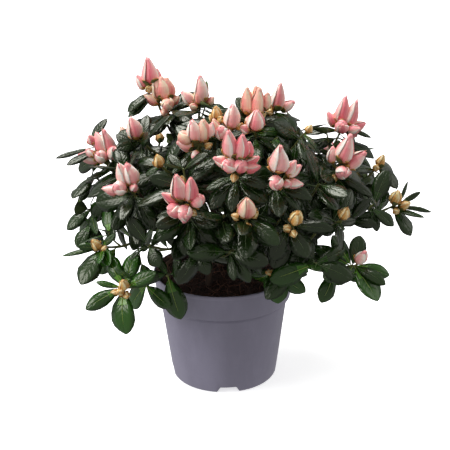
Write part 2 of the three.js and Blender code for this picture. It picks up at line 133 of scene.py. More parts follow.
# Fine relief and uneven gloss, on an object's own coordinates
def grainGroup():
    number = "NodeSocketFloat"
    tree, given, result = addGroup(
        "surface_grain",
        {"Scale": (number, 400.0), "Stretch": ("NodeSocketVector", (1, 1, 1)), "Depth": (number, 0.0001),
         "Smoothest": (number, 0.4), "Roughest": (number, 0.7)},
        {"Normal": "NodeSocketVector", "Roughness": number})
    place = addNode(tree, "ShaderNodeTexCoord")
    stretch = addNode(tree, "ShaderNodeVectorMath", operation="MULTIPLY")
    grain = addNode(tree, "ShaderNodeTexNoise", {"Detail": 5.0, "Roughness": 0.6})
    bump = addNode(tree, "ShaderNodeBump", {"Strength": 1.0})
    gloss = addNode(tree, "ShaderNodeMapRange", {"From Min": 0.35, "From Max": 0.65})
    link = linker(tree)
    link(place, "Object", stretch, 0)
    link(given, "Stretch", stretch, 1)
    link(stretch, 0, grain, "Vector")
    link(given, "Scale", grain, "Scale")
    link(grain, "Fac", bump, "Height")
    link(given, "Depth", bump, "Distance")
    link(grain, "Fac", gloss, "Value")
    link(given, "Smoothest", gloss, "To Min")
    link(given, "Roughest", gloss, "To Max")
    link(bump, "Normal", result, "Normal")
    link(gloss, "Result", result, "Roughness")
    return tree


# Two colours in soft patches
def patchGroup():
    colour = "NodeSocketColor"
    tree, given, result = addGroup(
        "soft_patches",
        {"First": (colour, (1, 1, 1, 1)), "Second": (colour, (0, 0, 0, 1)),
         "Scale": ("NodeSocketFloat", 30.0), "Stretch": ("NodeSocketVector", (1, 1, 1)),
         "Balance": ("NodeSocketFloat", 0.5)},
        {"Color": colour})
    place = addNode(tree, "ShaderNodeTexCoord")
    stretch = addNode(tree, "ShaderNodeVectorMath", operation="MULTIPLY")
    patches = addNode(tree, "ShaderNodeTexNoise", {"Detail": 6.0, "Roughness": 0.65})
    softness = 0.12
    low = addNode(tree, "ShaderNodeMath", {1: softness}, operation="SUBTRACT")
    high = addNode(tree, "ShaderNodeMath", {1: softness}, operation="ADD")
    share = addNode(tree, "ShaderNodeMapRange", interpolation_type="SMOOTHSTEP")
    blend = addNode(tree, "ShaderNodeMix", data_type="RGBA")
    link = linker(tree)
    link(place, "Object", stretch, 0)
    link(given, "Stretch", stretch, 1)
    link(stretch, 0, patches, "Vector")
    link(given, "Scale", patches, "Scale")
    link(given, "Balance", low, 0)
    link(given, "Balance", high, 0)
    link(patches, "Fac", share, "Value")
    link(low, 0, share, "From Min")
    link(high, 0, share, "From Max")
    link(share, "Result", blend, "Factor")
    link(given, "First", blend, "A")
    link(given, "Second", blend, "B")
    link(blend, "Result", result, "Color")
    return tree


# Side veins that curve forward from the midrib and the small quilting between them, on the blade's own map:
# across from edge to edge, and along from stalk to tip
def veinGroup():
    number = "NodeSocketFloat"
    ribSharpness = 10.0
    sideHeight = 0.5  # of the midrib's
    tree, given, result = addGroup(
        "leaf_veins",
        {"Veins": (number, 8.0), "Slant": (number, 4.2), "Vein Depth": (number, 0.0002),
         "Quilting": (number, 8.0), "Quilt Depth": (number, 0.00024),
         "Smoothest": (number, 0.13), "Roughest": (number, 0.27)},
        {"Normal": "NodeSocketVector", "Roughness": number})
    link = linker(tree)

    def maths(operation, first, second):
        node = addNode(tree, "ShaderNodeMath", operation=operation)
        for socket, value in zip(node.inputs, (first, second)):
            if isinstance(value, (int, float)):
                socket.default_value = value
            else:
                tree.links.new(value, socket)
        return node.outputs[0]

    blade = addNode(tree, "ShaderNodeUVMap", uv_map="OFBake")
    parts = addNode(tree, "ShaderNodeSeparateXYZ")
    link(blade, "UV", parts, 0)
    offMidrib = maths("ABSOLUTE", maths("SUBTRACT", parts.outputs["X"], 0.5), 0)
    along = maths("MULTIPLY", parts.outputs["Y"], given.outputs["Veins"])
    forward = maths("MULTIPLY", offMidrib, given.outputs["Slant"])
    phase = maths("MULTIPLY", maths("SUBTRACT", along, forward), math.pi)
    ridge = maths("ABSOLUTE", maths("SINE", phase, 0), 0)
    rib = maths("MINIMUM", maths("MULTIPLY", offMidrib, ribSharpness), 1.0)
    veins = addNode(tree, "ShaderNodeBump", {"Strength": 1.0})
    tree.links.new(maths("ADD", maths("MULTIPLY", ridge, sideHeight), rib), veins.inputs["Height"])
    link(given, "Vein Depth", veins, "Distance")
    longer = addNode(tree, "ShaderNodeVectorMath", {1: (1.3, 0.5, 1.0)}, operation="MULTIPLY")
    quilt = addNode(tree, "ShaderNodeTexNoise", {"Detail": 3.0, "Roughness": 0.55})
    fine = addNode(tree, "ShaderNodeBump", {"Strength": 1.0})
    gloss = addNode(tree, "ShaderNodeMapRange", {"From Min": 0.35, "From Max": 0.62})
    link(blade, "UV", longer, 0)
    link(longer, 0, quilt, "Vector")
    link(given, "Quilting", quilt, "Scale")
    link(quilt, "Fac", fine, "Height")
    link(given, "Quilt Depth", fine, "Distance")
    link(veins, "Normal", fine, "Normal")
    link(quilt, "Fac", gloss, "Value")
    link(given, "Smoothest", gloss, "To Min")
    link(given, "Roughest", gloss, "To Max")
    link(fine, "Normal", result, "Normal")
    link(gloss, "Result", result, "Roughness")
    return tree


grain = grainGroup()
patches = patchGroup()
veins = veinGroup()


def newMaterial(name, colour, **sockets):
    material = bpy.data.materials.new(name)
    material.use_nodes = True
    shader = material.node_tree.nodes["Principled BSDF"]
    shader.inputs["Base Color"].default_value = paint(colour)
    material.diffuse_color = paint(colour)
    for label, value in sockets.items():
        shader.inputs[label.replace("_", " ")].default_value = value
    return material


def useGroup(material, tree, values, outputs):
    group = addNode(material.node_tree, "ShaderNodeGroup", node_tree=tree)
    for label, value in values.items():
        group.inputs[label].default_value = value
    shader = material.node_tree.nodes["Principled BSDF"]
    for label, socket in outputs.items():
        material.node_tree.links.new(group.outputs[label], shader.inputs[socket])
    return material


def grained(material, scale, depth, smoothest, roughest, stretch=(1, 1, 1)):
    values = {"Scale": scale, "Depth": depth * mm, "Smoothest": smoothest, "Roughest": roughest,
              "Stretch": stretch}
    return useGroup(material, grain, values, {"Normal": "Normal", "Roughness": "Roughness"})


def patched(material, first, second, scale, balance=0.5, stretch=(1, 1, 1)):
    values = {"First": paint(first), "Second": paint(second), "Scale": scale, "Balance": balance,
              "Stretch": stretch}
    return useGroup(material, patches, values, {"Color": "Base Color"})


# Meshes in millimetres become pieces in metres, at the origin
def meshOf(name, points, faces, material=None, uv=None, tints=None):
    mesh = bpy.data.meshes.new(name)
    mesh.from_pydata([tuple(p) for p in points], [], faces)
    if uv is not None:
        corners = np.array([uv[loop.vertex_index] for loop in mesh.loops], np.float32)
        mesh.uv_layers.new(name="OFBake").data.foreach_set("uv", corners.ravel())  # its own map, the same on every copy of a shape
    if tints is not None:
        mesh.attributes.new("tint", "INT", "FACE").data.foreach_set("value", tints)
    if material is not None:
        mesh.materials.append(material)
    mesh.polygons.foreach_set("use_smooth", [True] * len(mesh.polygons))
    return mesh


def newPiece(name, mesh, scale=mm):
    mesh.transform(Matrix.Scale(scale, 4))
    piece = bpy.data.objects.new(name, mesh)
    scene.collection.objects.link(piece)
    return piece


def finishPiece(piece, slot, *nodes):
    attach(piece, "root")
    if nodes:
        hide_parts(*nodes)
    faces = piece.data.polygons
    triangles = sum(len(face.vertices) - 2 for face in faces)
    print(f"{piece.name}: {triangles} triangles")


# What a piece's modifiers make of it, as a plain mesh
def settle(piece):
    graph = bpy.context.evaluated_depsgraph_get()
    made = bpy.data.meshes.new_from_object(
        piece.evaluated_get(graph), preserve_all_data_layers=True, depsgraph=graph)
    piece.modifiers.clear()
    piece.data = made
    for name in ("tint", "turn", "span", "shape", "thickness"):
        if name in made.attributes:
            made.attributes.remove(made.attributes[name])


def setInput(modifier, label, value):
    for item in modifier.node_group.interface.items_tree:
        if item.item_type == "SOCKET" and item.in_out == "INPUT" and item.name == label:
            modifier[item.identifier] = value


def newTree(name, inputs):
    tree = bpy.data.node_groups.new(name, "GeometryNodeTree")
    tree.interface.new_socket("Geometry", in_out="INPUT", socket_type="NodeSocketGeometry")
    for label, kind in inputs.items():
        tree.interface.new_socket(label, in_out="INPUT", socket_type=kind)
    tree.interface.new_socket("Geometry", in_out="OUTPUT", socket_type="NodeSocketGeometry")
    return tree, tree.nodes.new("NodeGroupInput"), tree.nodes.new("NodeGroupOutput")


def named(tree, attribute, kind):
    return addNode(tree, "GeometryNodeInputNamedAttribute", {"Name": attribute}, data_type=kind)


# Copies of a few shapes on points that say which shape, how turned and how large. Each face takes the
# material of its tint.
def spreadTree(name, materials):
    tree, given, result = newTree(name, {"Shapes": "NodeSocketCollection", "Size": "NodeSocketFloat"})
    link = linker(tree)
    shapes = addNode(tree, "GeometryNodeCollectionInfo", {"Separate Children": True, "Reset Children": True})
    size = addNode(tree, "ShaderNodeVectorMath", operation="SCALE")
    copies = addNode(tree, "GeometryNodeInstanceOnPoints", {"Pick Instance": True})
    real = addNode(tree, "GeometryNodeRealizeInstances")
    link(given, "Shapes", shapes, "Collection")
    link(named(tree, "span", "FLOAT_VECTOR"), "Attribute", size, 0)
    link(given, "Size", size, "Scale")
    link(given, "Geometry", copies, "Points")
    link(shapes, "Instances", copies, "Instance")
    link(named(tree, "shape", "INT"), "Attribute", copies, "Instance Index")
    link(named(tree, "turn", "QUATERNION"), "Attribute", copies, "Rotation")
    link(size, 0, copies, "Scale")
    link(copies, "Instances", real, "Geometry")
    made = real
    for tint, material in enumerate(materials):
        chosen = addNode(tree, "FunctionNodeCompare", {3: tint}, data_type="INT", operation="EQUAL")
        link(named(tree, "tint", "INT"), "Attribute", chosen, 2)
        coat = addNode(tree, "GeometryNodeSetMaterial", {"Material": material})
        link(made, "Geometry", coat, "Geometry")
        link(chosen, 0, coat, "Selection")
        made = coat
    link(made, "Geometry", result, "Geometry")
    return tree


# Round limbs along lines whose points say how thick they are there
def limbTree(name, material):
    tree, given, result = newTree(name, {"Sides": "NodeSocketInt", "Thickness": "NodeSocketFloat"})
    link = linker(tree)
    line = addNode(tree, "GeometryNodeMeshToCurve")
    section = addNode(tree, "GeometryNodeCurvePrimitiveCircle", {"Radius": 1.0})
    thick = addNode(tree, "ShaderNodeMath", operation="MULTIPLY")
    limb = addNode(tree, "GeometryNodeCurveToMesh", {"Fill Caps": True})
    smooth = addNode(tree, "GeometryNodeSetShadeSmooth")
    real = addNode(tree, "GeometryNodeRealizeInstances")
    coat = addNode(tree, "GeometryNodeSetMaterial", {"Material": material})
    link(given, "Geometry", line, "Mesh")
    link(given, "Sides", section, "Resolution")
    link(named(tree, "thickness", "FLOAT"), "Attribute", thick, 0)
    link(given, "Thickness", thick, 1)
    link(line, "Curve", limb, "Curve")
    link(section, "Curve", limb, "Profile Curve")
    link(thick, 0, limb, "Scale")
    link(limb, "Mesh", smooth, "Geometry")
    link(smooth, "Geometry", real, "Geometry")
    link(real, "Geometry", coat, "Geometry")
    link(coat, "Geometry", result, "Geometry")
    return tree


# Copies of small shapes strewn over a surface
def strewTree(name, material):
    number = "NodeSocketFloat"
    tree, given, result = newTree(
        name, {"Shapes": "NodeSocketCollection", "Density": number, "Smallest": number, "Largest": number,
               "Seed": "NodeSocketInt"})
    link = linker(tree)
    shapes = addNode(tree, "GeometryNodeCollectionInfo", {"Separate Children": True, "Reset Children": True})
    points = addNode(tree, "GeometryNodeDistributePointsOnFaces")
    turn = addNode(tree, "FunctionNodeRandomValue", {1: [math.tau] * 3}, data_type="FLOAT_VECTOR")
    size = addNode(tree, "FunctionNodeRandomValue", data_type="FLOAT")
    copies = addNode(tree, "GeometryNodeInstanceOnPoints", {"Pick Instance": True})
    real = addNode(tree, "GeometryNodeRealizeInstances")
    coat = addNode(tree, "GeometryNodeSetMaterial", {"Material": material})
    link(given, "Shapes", shapes, "Collection")
    link(given, "Geometry", points, "Mesh")
    link(given, "Density", points, "Density")
    link(given, "Seed", points, "Seed")
    link(given, "Smallest", size, 2)
    link(given, "Largest", size, 3)
    link(given, "Seed", size, "Seed")
    link(given, "Seed", turn, "Seed")
    link(points, "Points", copies, "Points")
    link(shapes, "Instances", copies, "Instance")
    link(turn, 0, copies, "Rotation")
    link(size, 1, copies, "Scale")
    link(copies, "Instances", real, "Geometry")
    link(real, "Geometry", coat, "Geometry")
    link(coat, "Geometry", result, "Geometry")
    return tree


# A set of shapes that a tree copies, put away again once the copies are real
def shapeSet(name, meshes):
    shapes = bpy.data.collections.new(name)
    scene.collection.children.link(shapes)
    for number, mesh in enumerate(meshes):
        shapes.objects.link(bpy.data.objects.new(f"{name}_{number:02d}", mesh))
    return shapes


def putAway(shapes):
    for shape in list(shapes.objects):
        bpy.data.objects.remove(shape)
    bpy.data.collections.remove(shapes)


def runTree(piece, tree, values):
    modifier = piece.modifiers.new(tree.name, "NODES")
    modifier.node_group = tree
    for label, value in values.items():
        setInput(modifier, label, value)
    settle(piece)


# The pieces that copies of shapes make. A copy says its place, turn, span and shape.
def spreadPiece(name, copies, shapes, materials):
    mesh = bpy.data.meshes.new(name)
    mesh.from_pydata([tuple(copy["place"] * mm) for copy in copies], [], [])
    mesh.attributes.new("turn", "QUATERNION", "POINT").data.foreach_set(
        "value", np.array([tuple(copy["turn"]) for copy in copies], np.float32).ravel())
    mesh.attributes.new("span", "FLOAT_VECTOR", "POINT").data.foreach_set(
        "vector", np.array([copy["span"] for copy in copies], np.float32).ravel())
    mesh.attributes.new("shape", "INT", "POINT").data.foreach_set("value", [copy["shape"] for copy in copies])
    piece = newPiece(name, mesh, 1)
    runTree(piece, spreadTree(name + "_spread", materials), {"Shapes": shapes, "Size": mm})
    return piece


# The pieces that lines make. A line is a list of points and a list of its radii there.
def limbPiece(name, lines, sides, material):
    points = []
    radii = []
    edges = []
    for line, thickness in lines:
        first = len(points)
        points += [tuple(p * mm) for p in line]
        radii += thickness
        edges += [(first + i, first + i + 1) for i in range(len(line) - 1)]
    mesh = bpy.data.meshes.new(name)
    mesh.from_pydata(points, edges, [])
    mesh.attributes.new("thickness", "FLOAT", "POINT").data.foreach_set("value", radii)
    piece = newPiece(name, mesh, 1)
    runTree(piece, limbTree(name + "_limbs", material), {"Sides": sides, "Thickness": mm})
    return piece


# Repeatable chance: each seed gives its own run of numbers from 0 to 1, as in the part's source
def dice(seed):
    state = (seed + 1) * 2654435761 % 2**32

    def throw():
        nonlocal state
        state = (state * 1664525 + 1013904223) % 2**32
        return state / 2**32

    return throw


def mix(random, low, high):
    return low + (high - low) * random()


# Rows of values as dictionaries with the same labels
def labelled(labels, rows):
    return {name: dict(zip(labels, row)) for name, row in rows.items()}


def outward(bearing):
    return Vector((math.sin(math.radians(bearing)), -math.cos(math.radians(bearing)), 0))


# A line as evenly spaced points
def spaced(line, steps):
    lengths = [0.0]
    for start, end in zip(line, line[1:]):
        lengths.append(lengths[-1] + (end - start).length)
    points = []
    at = 0
    for i in range(steps + 1):
        wanted = lengths[-1] * i / steps
        while at < len(line) - 2 and lengths[at + 1] < wanted:
            at += 1
        share = (wanted - lengths[at]) / max(lengths[at + 1] - lengths[at], 1e-9)
        points.append(line[at].lerp(line[at + 1], min(share, 1.0)))
    return points


# A smooth line through a few points, centripetal Catmull-Rom
def spline(controls, steps):
    fineSteps = 24
    ends = [controls[0] * 2 - controls[1], *controls, controls[-1] * 2 - controls[-2]]
    fine = []
    for before, start, end, after in zip(ends, ends[1:], ends[2:], ends[3:]):
        a, b, c = ((q - p).length ** 0.5 for p, q in ((before, start), (start, end), (end, after)))
        leave = ((start - before) / a - (end - before) / (a + b) + (end - start) / b) * b
        arrive = ((end - start) / b - (after - start) / (b + c) + (after - end) / c) * b
        for i in range(fineSteps):
            t = i / fineSteps
            square = (end - start) * 3 - leave * 2 - arrive
            cube = (start - end) * 2 + leave + arrive
            fine.append(start + leave * t + square * t**2 + cube * t**3)
    fine.append(controls[-1])
    return spaced(fine, steps)


def lengthOf(line):
    return sum((end - start).length for start, end in zip(line, line[1:]))


# Points round a line, ring by ring, closed at both ends. relief gives what is added to the radius.
def tube(line, radii, sides, relief=None):
    points = []
    faces = []
    last = len(line) - 1
    side = (line[1] - line[0]).orthogonal()
    travelled = 0.0
    for i, middle in enumerate(line):
        along = (line[min(i + 1, last)] - line[max(i - 1, 0)]).normalized()
        side = (side - along * side.dot(along)).normalized()
        other = along.cross(side)
        travelled += (middle - line[max(i - 1, 0)]).length
        for k in range(sides):
            turn = math.tau * k / sides
            way = side * math.cos(turn) + other * math.sin(turn)
            extra = relief(travelled, turn, radii[i]) if relief else 0.0
            points.append(middle + way * (radii[i] + extra))
    for i in range(last):
        for k in range(sides):
            a, b = i * sides + k, i * sides + (k + 1) % sides
            faces.append((a, b, b + sides, a + sides))
    faces.append(tuple(reversed(range(sides))))
    faces.append(tuple(range(last * sides, last * sides + sides)))
    return points, faces


# The pot, with the part's own sizes
pot = {
    "rimRadius": 65.0, "bandFootRadius": 61.6, "neckRadius": 59.2, "baseRadius": 49.3,
    "height": 104.0, "bandHeight": 24.0, "wall": 1.6, "lip": 1.2,
    "hubRadius": 24.0, "floorLift": 5.0, "floorTop": 6.6, "ringWidth": 3.8,
    "notches": 4, "notchBearing": 4.0, "notchWidth": 21.0, "notchTopWidth": 15.5, "notchHeight": 4.8,
    "drains": 8, "drainRadius": 4.0, "drainCircle": 34.0,
    "drillReach": (3.0, 1.0), "drainSides": 28,
    "groove": 1.45, "grooveHeight": 4.5, "grooveTop": 0.7, "overhang": 1.0, "bandBevel": (0.3, 0.5),
    "lipBevel": 0.7, "rimBevel": (0.5, 0.4), "innerStep": 1.5, "innerEase": 0.7,
    "hubSlope": 2.0, "ringSlope": 1.0, "footBevel": (1.0, 1.5), "footEase": 10.0, "footShare": 0.12,
    "rounding": 0.4, "sides": 240, "sharpAngle": 38.0,
    "colour": "#8a8699", "shade": "#817d8f",
}


# A profile whose corners are eased by small curves
def eased(profile, rounding, steps=3):
    points = [Vector(profile[0])]
    most = 0.45  # of a side's length
    for before, corner, after in zip(profile, profile[1:], profile[2:]):
        before, corner, after = Vector(before), Vector(corner), Vector(after)
        back = min(rounding, (before - corner).length * most)
        on = min(rounding, (after - corner).length * most)
        start = corner + (before - corner).normalized() * back
        end = corner + (after - corner).normalized() * on
        for i in range(steps + 1):
            t = i / steps
            points.append(start * (1 - t) ** 2 + corner * 2 * t * (1 - t) + end * t**2)
    points.append(Vector(profile[-1]))
    return points


# A solid of revolution about +Z whose profile starts and ends on the axis
def turned(profile, sides):
    ring = profile[1:-1]
    points = [Vector((0, 0, profile[0][1])), Vector((0, 0, profile[-1][1]))]
    for radius, height in ring:
        for k in range(sides):
            turn = math.tau * k / sides
            points.append(Vector((radius * math.cos(turn), radius * math.sin(turn), height)))
    faces = []
    last = len(ring) - 1
    for k in range(sides):
        near, far = 2 + k, 2 + (k + 1) % sides
        faces.append((0, far, near))
        for i in range(last):
            row = i * sides
            faces.append((near + row, far + row, far + row + sides, near + row + sides))
        faces.append((near + last * sides, far + last * sides, 1))
    return points, faces


# How high the foot of the pot is cut away at a bearing
def notchAt(x, y):
    bearing = math.degrees(math.atan2(x, -y)) - pot["notchBearing"]
    step = 360 / pot["notches"]
    off = abs((bearing + step / 2) % step - step / 2)
    across = math.radians(off) * pot["baseRadius"]
    slope = (pot["notchWidth"] / 2 - across) / ((pot["notchWidth"] - pot["notchTopWidth"]) / 2)
    return pot["notchHeight"] * min(1.0, max(0.0, slope))


def makePot():
    bandFoot = pot["height"] - pot["bandHeight"]
    ringInner = pot["baseRadius"] - pot["ringWidth"]
    footOut, footUp = pot["footBevel"]
    bandIn, bandDown = pot["bandBevel"]
    rimIn, rimDown = pot["rimBevel"]
    bandOut = pot["bandFootRadius"] + pot["overhang"]
    footTop = pot["baseRadius"] + (pot["neckRadius"] - pot["baseRadius"]) * pot["footShare"]
    profile = [
        (0, 0), (pot["hubRadius"], 0), (pot["hubRadius"] + pot["hubSlope"], pot["floorLift"]),
        (ringInner - pot["ringSlope"], pot["floorLift"]), (ringInner, 0),
        (pot["baseRadius"] - footOut, 0), (pot["baseRadius"], footUp), (footTop, pot["footEase"]),
        (pot["neckRadius"], bandFoot - pot["grooveHeight"]),
        (pot["neckRadius"] - pot["groove"], bandFoot - pot["grooveTop"]),
        (bandOut - bandIn, bandFoot - bandDown), (bandOut, bandFoot + bandIn),
        (pot["rimRadius"] - pot["lipBevel"], pot["height"] - pot["lip"] * 3),
        (pot["rimRadius"], pot["height"] - pot["lip"] * 2), (pot["rimRadius"], pot["height"] - rimDown),
        (pot["rimRadius"] - rimIn, pot["height"]), (pot["rimRadius"] - pot["wall"], pot["height"]),
        (pot["bandFootRadius"] - pot["wall"], bandFoot + pot["innerStep"]),
        (pot["neckRadius"] - pot["wall"], bandFoot - pot["innerStep"]),
        (pot["baseRadius"] - pot["wall"] + pot["innerEase"], pot["floorTop"]), (0, pot["floorTop"]),
    ]
    points, faces = turned(eased(profile, pot["rounding"]), pot["sides"])
    for point in points:
        radius = math.hypot(point.x, point.y)
        top = pot["footEase"] if radius > ringInner + pot["ringSlope"] else pot["floorLift"]
        if radius > ringInner - pot["ringSlope"] * 2 and point.z < top:
            cut = notchAt(point.x, point.y)
            point.z = cut + point.z * (top - cut) / top
    plastic = newMaterial("pot_plastic", pot["colour"], Roughness=0.45)
    patched(plastic, pot["colour"], pot["shade"], scale=22.0, stretch=(1, 1, 0.4))
    grained(plastic, scale=900.0, depth=0.035, smoothest=0.4, roughest=0.52, stretch=(1, 1, 0.6))
    piece = newPiece("pot_shell", meshOf("pot_shell", points, faces, plastic))
    drills = []
    below, above = pot["drillReach"]
    for i in range(pot["drains"]):
        spot = outward((i + 0.5) * 360 / pot["drains"]) * pot["drainCircle"]
        line = [spot + up * height for height in (pot["floorLift"] - below, pot["floorTop"] + above)]
        drills.append(tube(line, [pot["drainRadius"]] * 2, pot["drainSides"]))
    drillPoints = [point for points, _ in drills for point in points]
    drillFaces = []
    for i, (points, faces) in enumerate(drills):
        drillFaces += [tuple(corner + i * len(points) for corner in face) for face in faces]
    drill = newPiece("pot_drills", meshOf("pot_drills", drillPoints, drillFaces))
    cut = piece.modifiers.new("drains", "BOOLEAN")
    cut.operation = "DIFFERENCE"
    cut.object = drill
    settle(piece)
    bpy.data.objects.remove(drill)
    piece.data.set_sharp_from_angle(angle=math.radians(pot["sharpAngle"]))
    finishPiece(piece, "pot", "pot")


makePot()

# The peat: a seat for the trunk, a slope to the wall, a lump at one side, crumbs and root fibres
peat = {
    "edgeDrop": 5.0, "seatRadius": 13.0, "seatHeight": 111.0, "seatGap": 0.3,
    "lumpBearing": -98.0, "lumpCircle": 47.0, "lumpHeight": 13.0, "lumpSpread": 15.0,
    "rings": 46, "sides": 150, "relief": 1.5, "reliefScale": 0.12, "fractal": (0.7, 2.2, 5), "skirt": 2.0,
    "footGap": 0.4, "neckGap": 0.9,
    "crumbDensity": 210000.0, "smallestCrumb": 0.45, "largestCrumb": 1.9, "crumbSeed": 4, "crumbShapes": 4,
    "crumbDepth": 1.9, "crumbSwell": (0.55, 1.15),
    "fibres": 150, "fibreLength": (7.0, 22.0), "fibreRadius": 0.16, "fibreSteps": 6, "fibreReach": 0.96,
    "fibreLift": 0.5, "fibreArch": 1.6, "fibreBend": (-38, 38), "fibreWidths": (0.6, 1.4), "fibreGap": 1.0,
    # These colours are darker than the peat itself: painted shade of the crown over the pot is in them, and
    # so in the soil, the crumbs and the root fibres.
    "colour": "#2c1b15", "dark": "#150d0a", "crumb": "#40281f", "fibre": "#6b4533",
}


def peatHeight(x, y):
    radius = math.hypot(x, y)
    edge = pot["height"] - peat["edgeDrop"]
    slope = min(1.0, max(0.0, (radius - peat["seatRadius"]) / (pot["rimRadius"] - peat["seatRadius"])))
    lump = outward(peat["lumpBearing"]) * peat["lumpCircle"]
    off = math.hypot(x - lump.x, y - lump.y) / peat["lumpSpread"]
    slant = (edge - peat["seatHeight"]) * slope
    return peat["seatHeight"] + slant + peat["lumpHeight"] * math.exp(-off * off / 2) * slope


def peatRelief(x, y):
    place = Vector((x, y, 0)) * peat["reliefScale"]
    return peat["relief"] * noise.fractal(place, *peat["fractal"])


def makePeat():
    random = dice(300)
    edge = pot["height"] - peat["edgeDrop"]
    bandFoot = pot["height"] - pot["bandHeight"]
    flare = pot["rimRadius"] - pot["bandFootRadius"]
    rim = pot["bandFootRadius"] + flare * (edge - bandFoot) / pot["bandHeight"]
    rim -= pot["wall"] + peat["seatGap"]
    floor = pot["floorTop"] + peat["seatGap"]
    profile = [(0, floor), (pot["baseRadius"] - pot["wall"] - peat["footGap"], floor),
               (pot["neckRadius"] - pot["wall"] - peat["neckGap"], bandFoot - peat["skirt"]),
               (rim, edge - peat["skirt"])]
    profile += [(rim * (1 - i / peat["rings"]), edge) for i in range(peat["rings"])] + [(0, edge)]
    points, faces = turned(profile, peat["sides"])
    for point in points:
        if point.z > edge - peat["skirt"] / 2:
            point.z = peatHeight(point.x, point.y) + peatRelief(point.x, point.y)
    soil = newMaterial("peat_soil", peat["colour"], Roughness=0.95, Specular_IOR_Level=0.25)
    patched(soil, peat["colour"], peat["dark"], scale=260.0)
    grained(soil, scale=1500.0, depth=0.5, smoothest=0.8, roughest=1.0)
    bed = newPiece("peat_bed", meshOf("peat_bed", points, faces, soil))
    finishPiece(bed, "peat", "peat")

    crumbMaterial = newMaterial("peat_crumb", peat["crumb"], Roughness=0.9, Specular_IOR_Level=0.3)
    grained(crumbMaterial, scale=2500.0, depth=0.25, smoothest=0.75, roughest=0.95)
    crumbs = []
    for variant in range(peat["crumbShapes"]):
        crumbs.append(meshOf(f"crumb_{variant}", *roundCrumb(variant)))
    shapes = shapeSet("crumbs", crumbs)
    top = [face for face in faces if all(points[corner].z > edge - peat["crumbDepth"] for corner in face)]
    strewn = newPiece("peat_crumbs", meshOf("peat_crumbs", points, top))
    runTree(strewn, strewTree("crumb_strewing", crumbMaterial),
            {"Shapes": shapes, "Density": peat["crumbDensity"], "Smallest": peat["smallestCrumb"] * mm,
             "Largest": peat["largestCrumb"] * mm, "Seed": peat["crumbSeed"]})
    putAway(shapes)
    finishPiece(strewn, "peat")

    fibreMaterial = newMaterial("root_fibre", peat["fibre"], Roughness=0.8)
    grained(fibreMaterial, scale=1800.0, depth=0.05, smoothest=0.6, roughest=0.9)
    fibres = []
    for _ in range(peat["fibres"]):
        bearing = mix(random, 0, 360)
        away = rim * peat["fibreReach"] * math.sqrt(random())
        place = outward(bearing) * away
        heading = mix(random, 0, 360)
        steps = peat["fibreSteps"]
        stride = mix(random, *peat["fibreLength"]) / steps
        line = []
        for i in range(steps + 1):
            lift = peat["fibreLift"] + peat["fibreArch"] * math.sin(math.pi * i / steps)
            if math.hypot(place.x, place.y) < rim - peat["fibreGap"]:
                height = peatHeight(place.x, place.y) + peatRelief(place.x, place.y) + lift
                line.append(Vector((place.x, place.y, height)))
            heading += mix(random, *peat["fibreBend"])
            place = place + outward(heading) * stride
        if len(line) > 3:
            radius = peat["fibreRadius"] * mix(random, *peat["fibreWidths"])
            fibres.append((line, [radius] * len(line)))
    finishPiece(limbPiece("root_fibres", fibres, 4, fibreMaterial), "peat")


# A rough twenty-sided crumb, about one unit across
def roundCrumb(seed):
    random = dice(400 + seed)
    golden = (1 + math.sqrt(5)) / 2
    corners = []
    for a in (-1, 1):
        for b in (-golden, golden):
            corners += [(a, b, 0), (0, a, b), (b, 0, a)]
    points = []
    for corner in corners:
        swell = mix(random, *peat["crumbSwell"])
        points.append(tuple(Vector(corner).normalized() * swell * 0.5))
    edge = min((Vector(p) - Vector(q)).length for p in corners for q in corners if p != q) * 1.01
    faces = []
    for i, p in enumerate(corners):
        for j in range(i + 1, 12):
            for k in range(j + 1, 12):
                q, r = Vector(corners[j]), Vector(corners[k])
                p = Vector(p)
                if max((p - q).length, (q - r).length, (r - p).length) < edge:
                    outer = (q - p).cross(r - p).dot(p) > 0
                    faces.append((i, j, k) if outer else (i, k, j))
    return points, faces


makePeat()

# How the plant grows: the same rule and the same main shoots as in the part's source
crown = {"centre": Vector((15, 5, 130)), "radii": Vector((142, 135, 135)), "frontHalf": 40.0}
trunk = {"footRadius": 8.5, "forkRadius": 5.6, "flare": 3.2, "flareHeight": 9.0, "height": 34.0,
         "lean": Vector((3, 2, 0)), "sway": (0.3, 0.4, 0.5)}
sideStem = {"bearing": -19.0, "circle": 40.0, "footRadius": 3.2, "tipRadius": 2.3, "height": 36.0,
            "lean": Vector((2, 12, 0)), "sunk": 2.0}
bough = {"footRadius": 3.3, "childFootRadius": 2.5, "tipRadius": 1.8, "entry": 0.47, "arch": 7.0,
         "archShare": (0.1, 1), "lowest": 0.42, "climbSpan": 150.0,
         "levels": {"side_stem": 0.95, "front_left": 0.42}}
shoot = {"forkRadius": 1.5, "tipRadius": 1.1, "stemGap": 0.8, "stemShare": 0.3, "bend": 0.3, "bendAt": 0.6,
         "uprightness": 1.6, "overlap": 3.0, "fewestSteps": 6, "stepLength": 3.0}
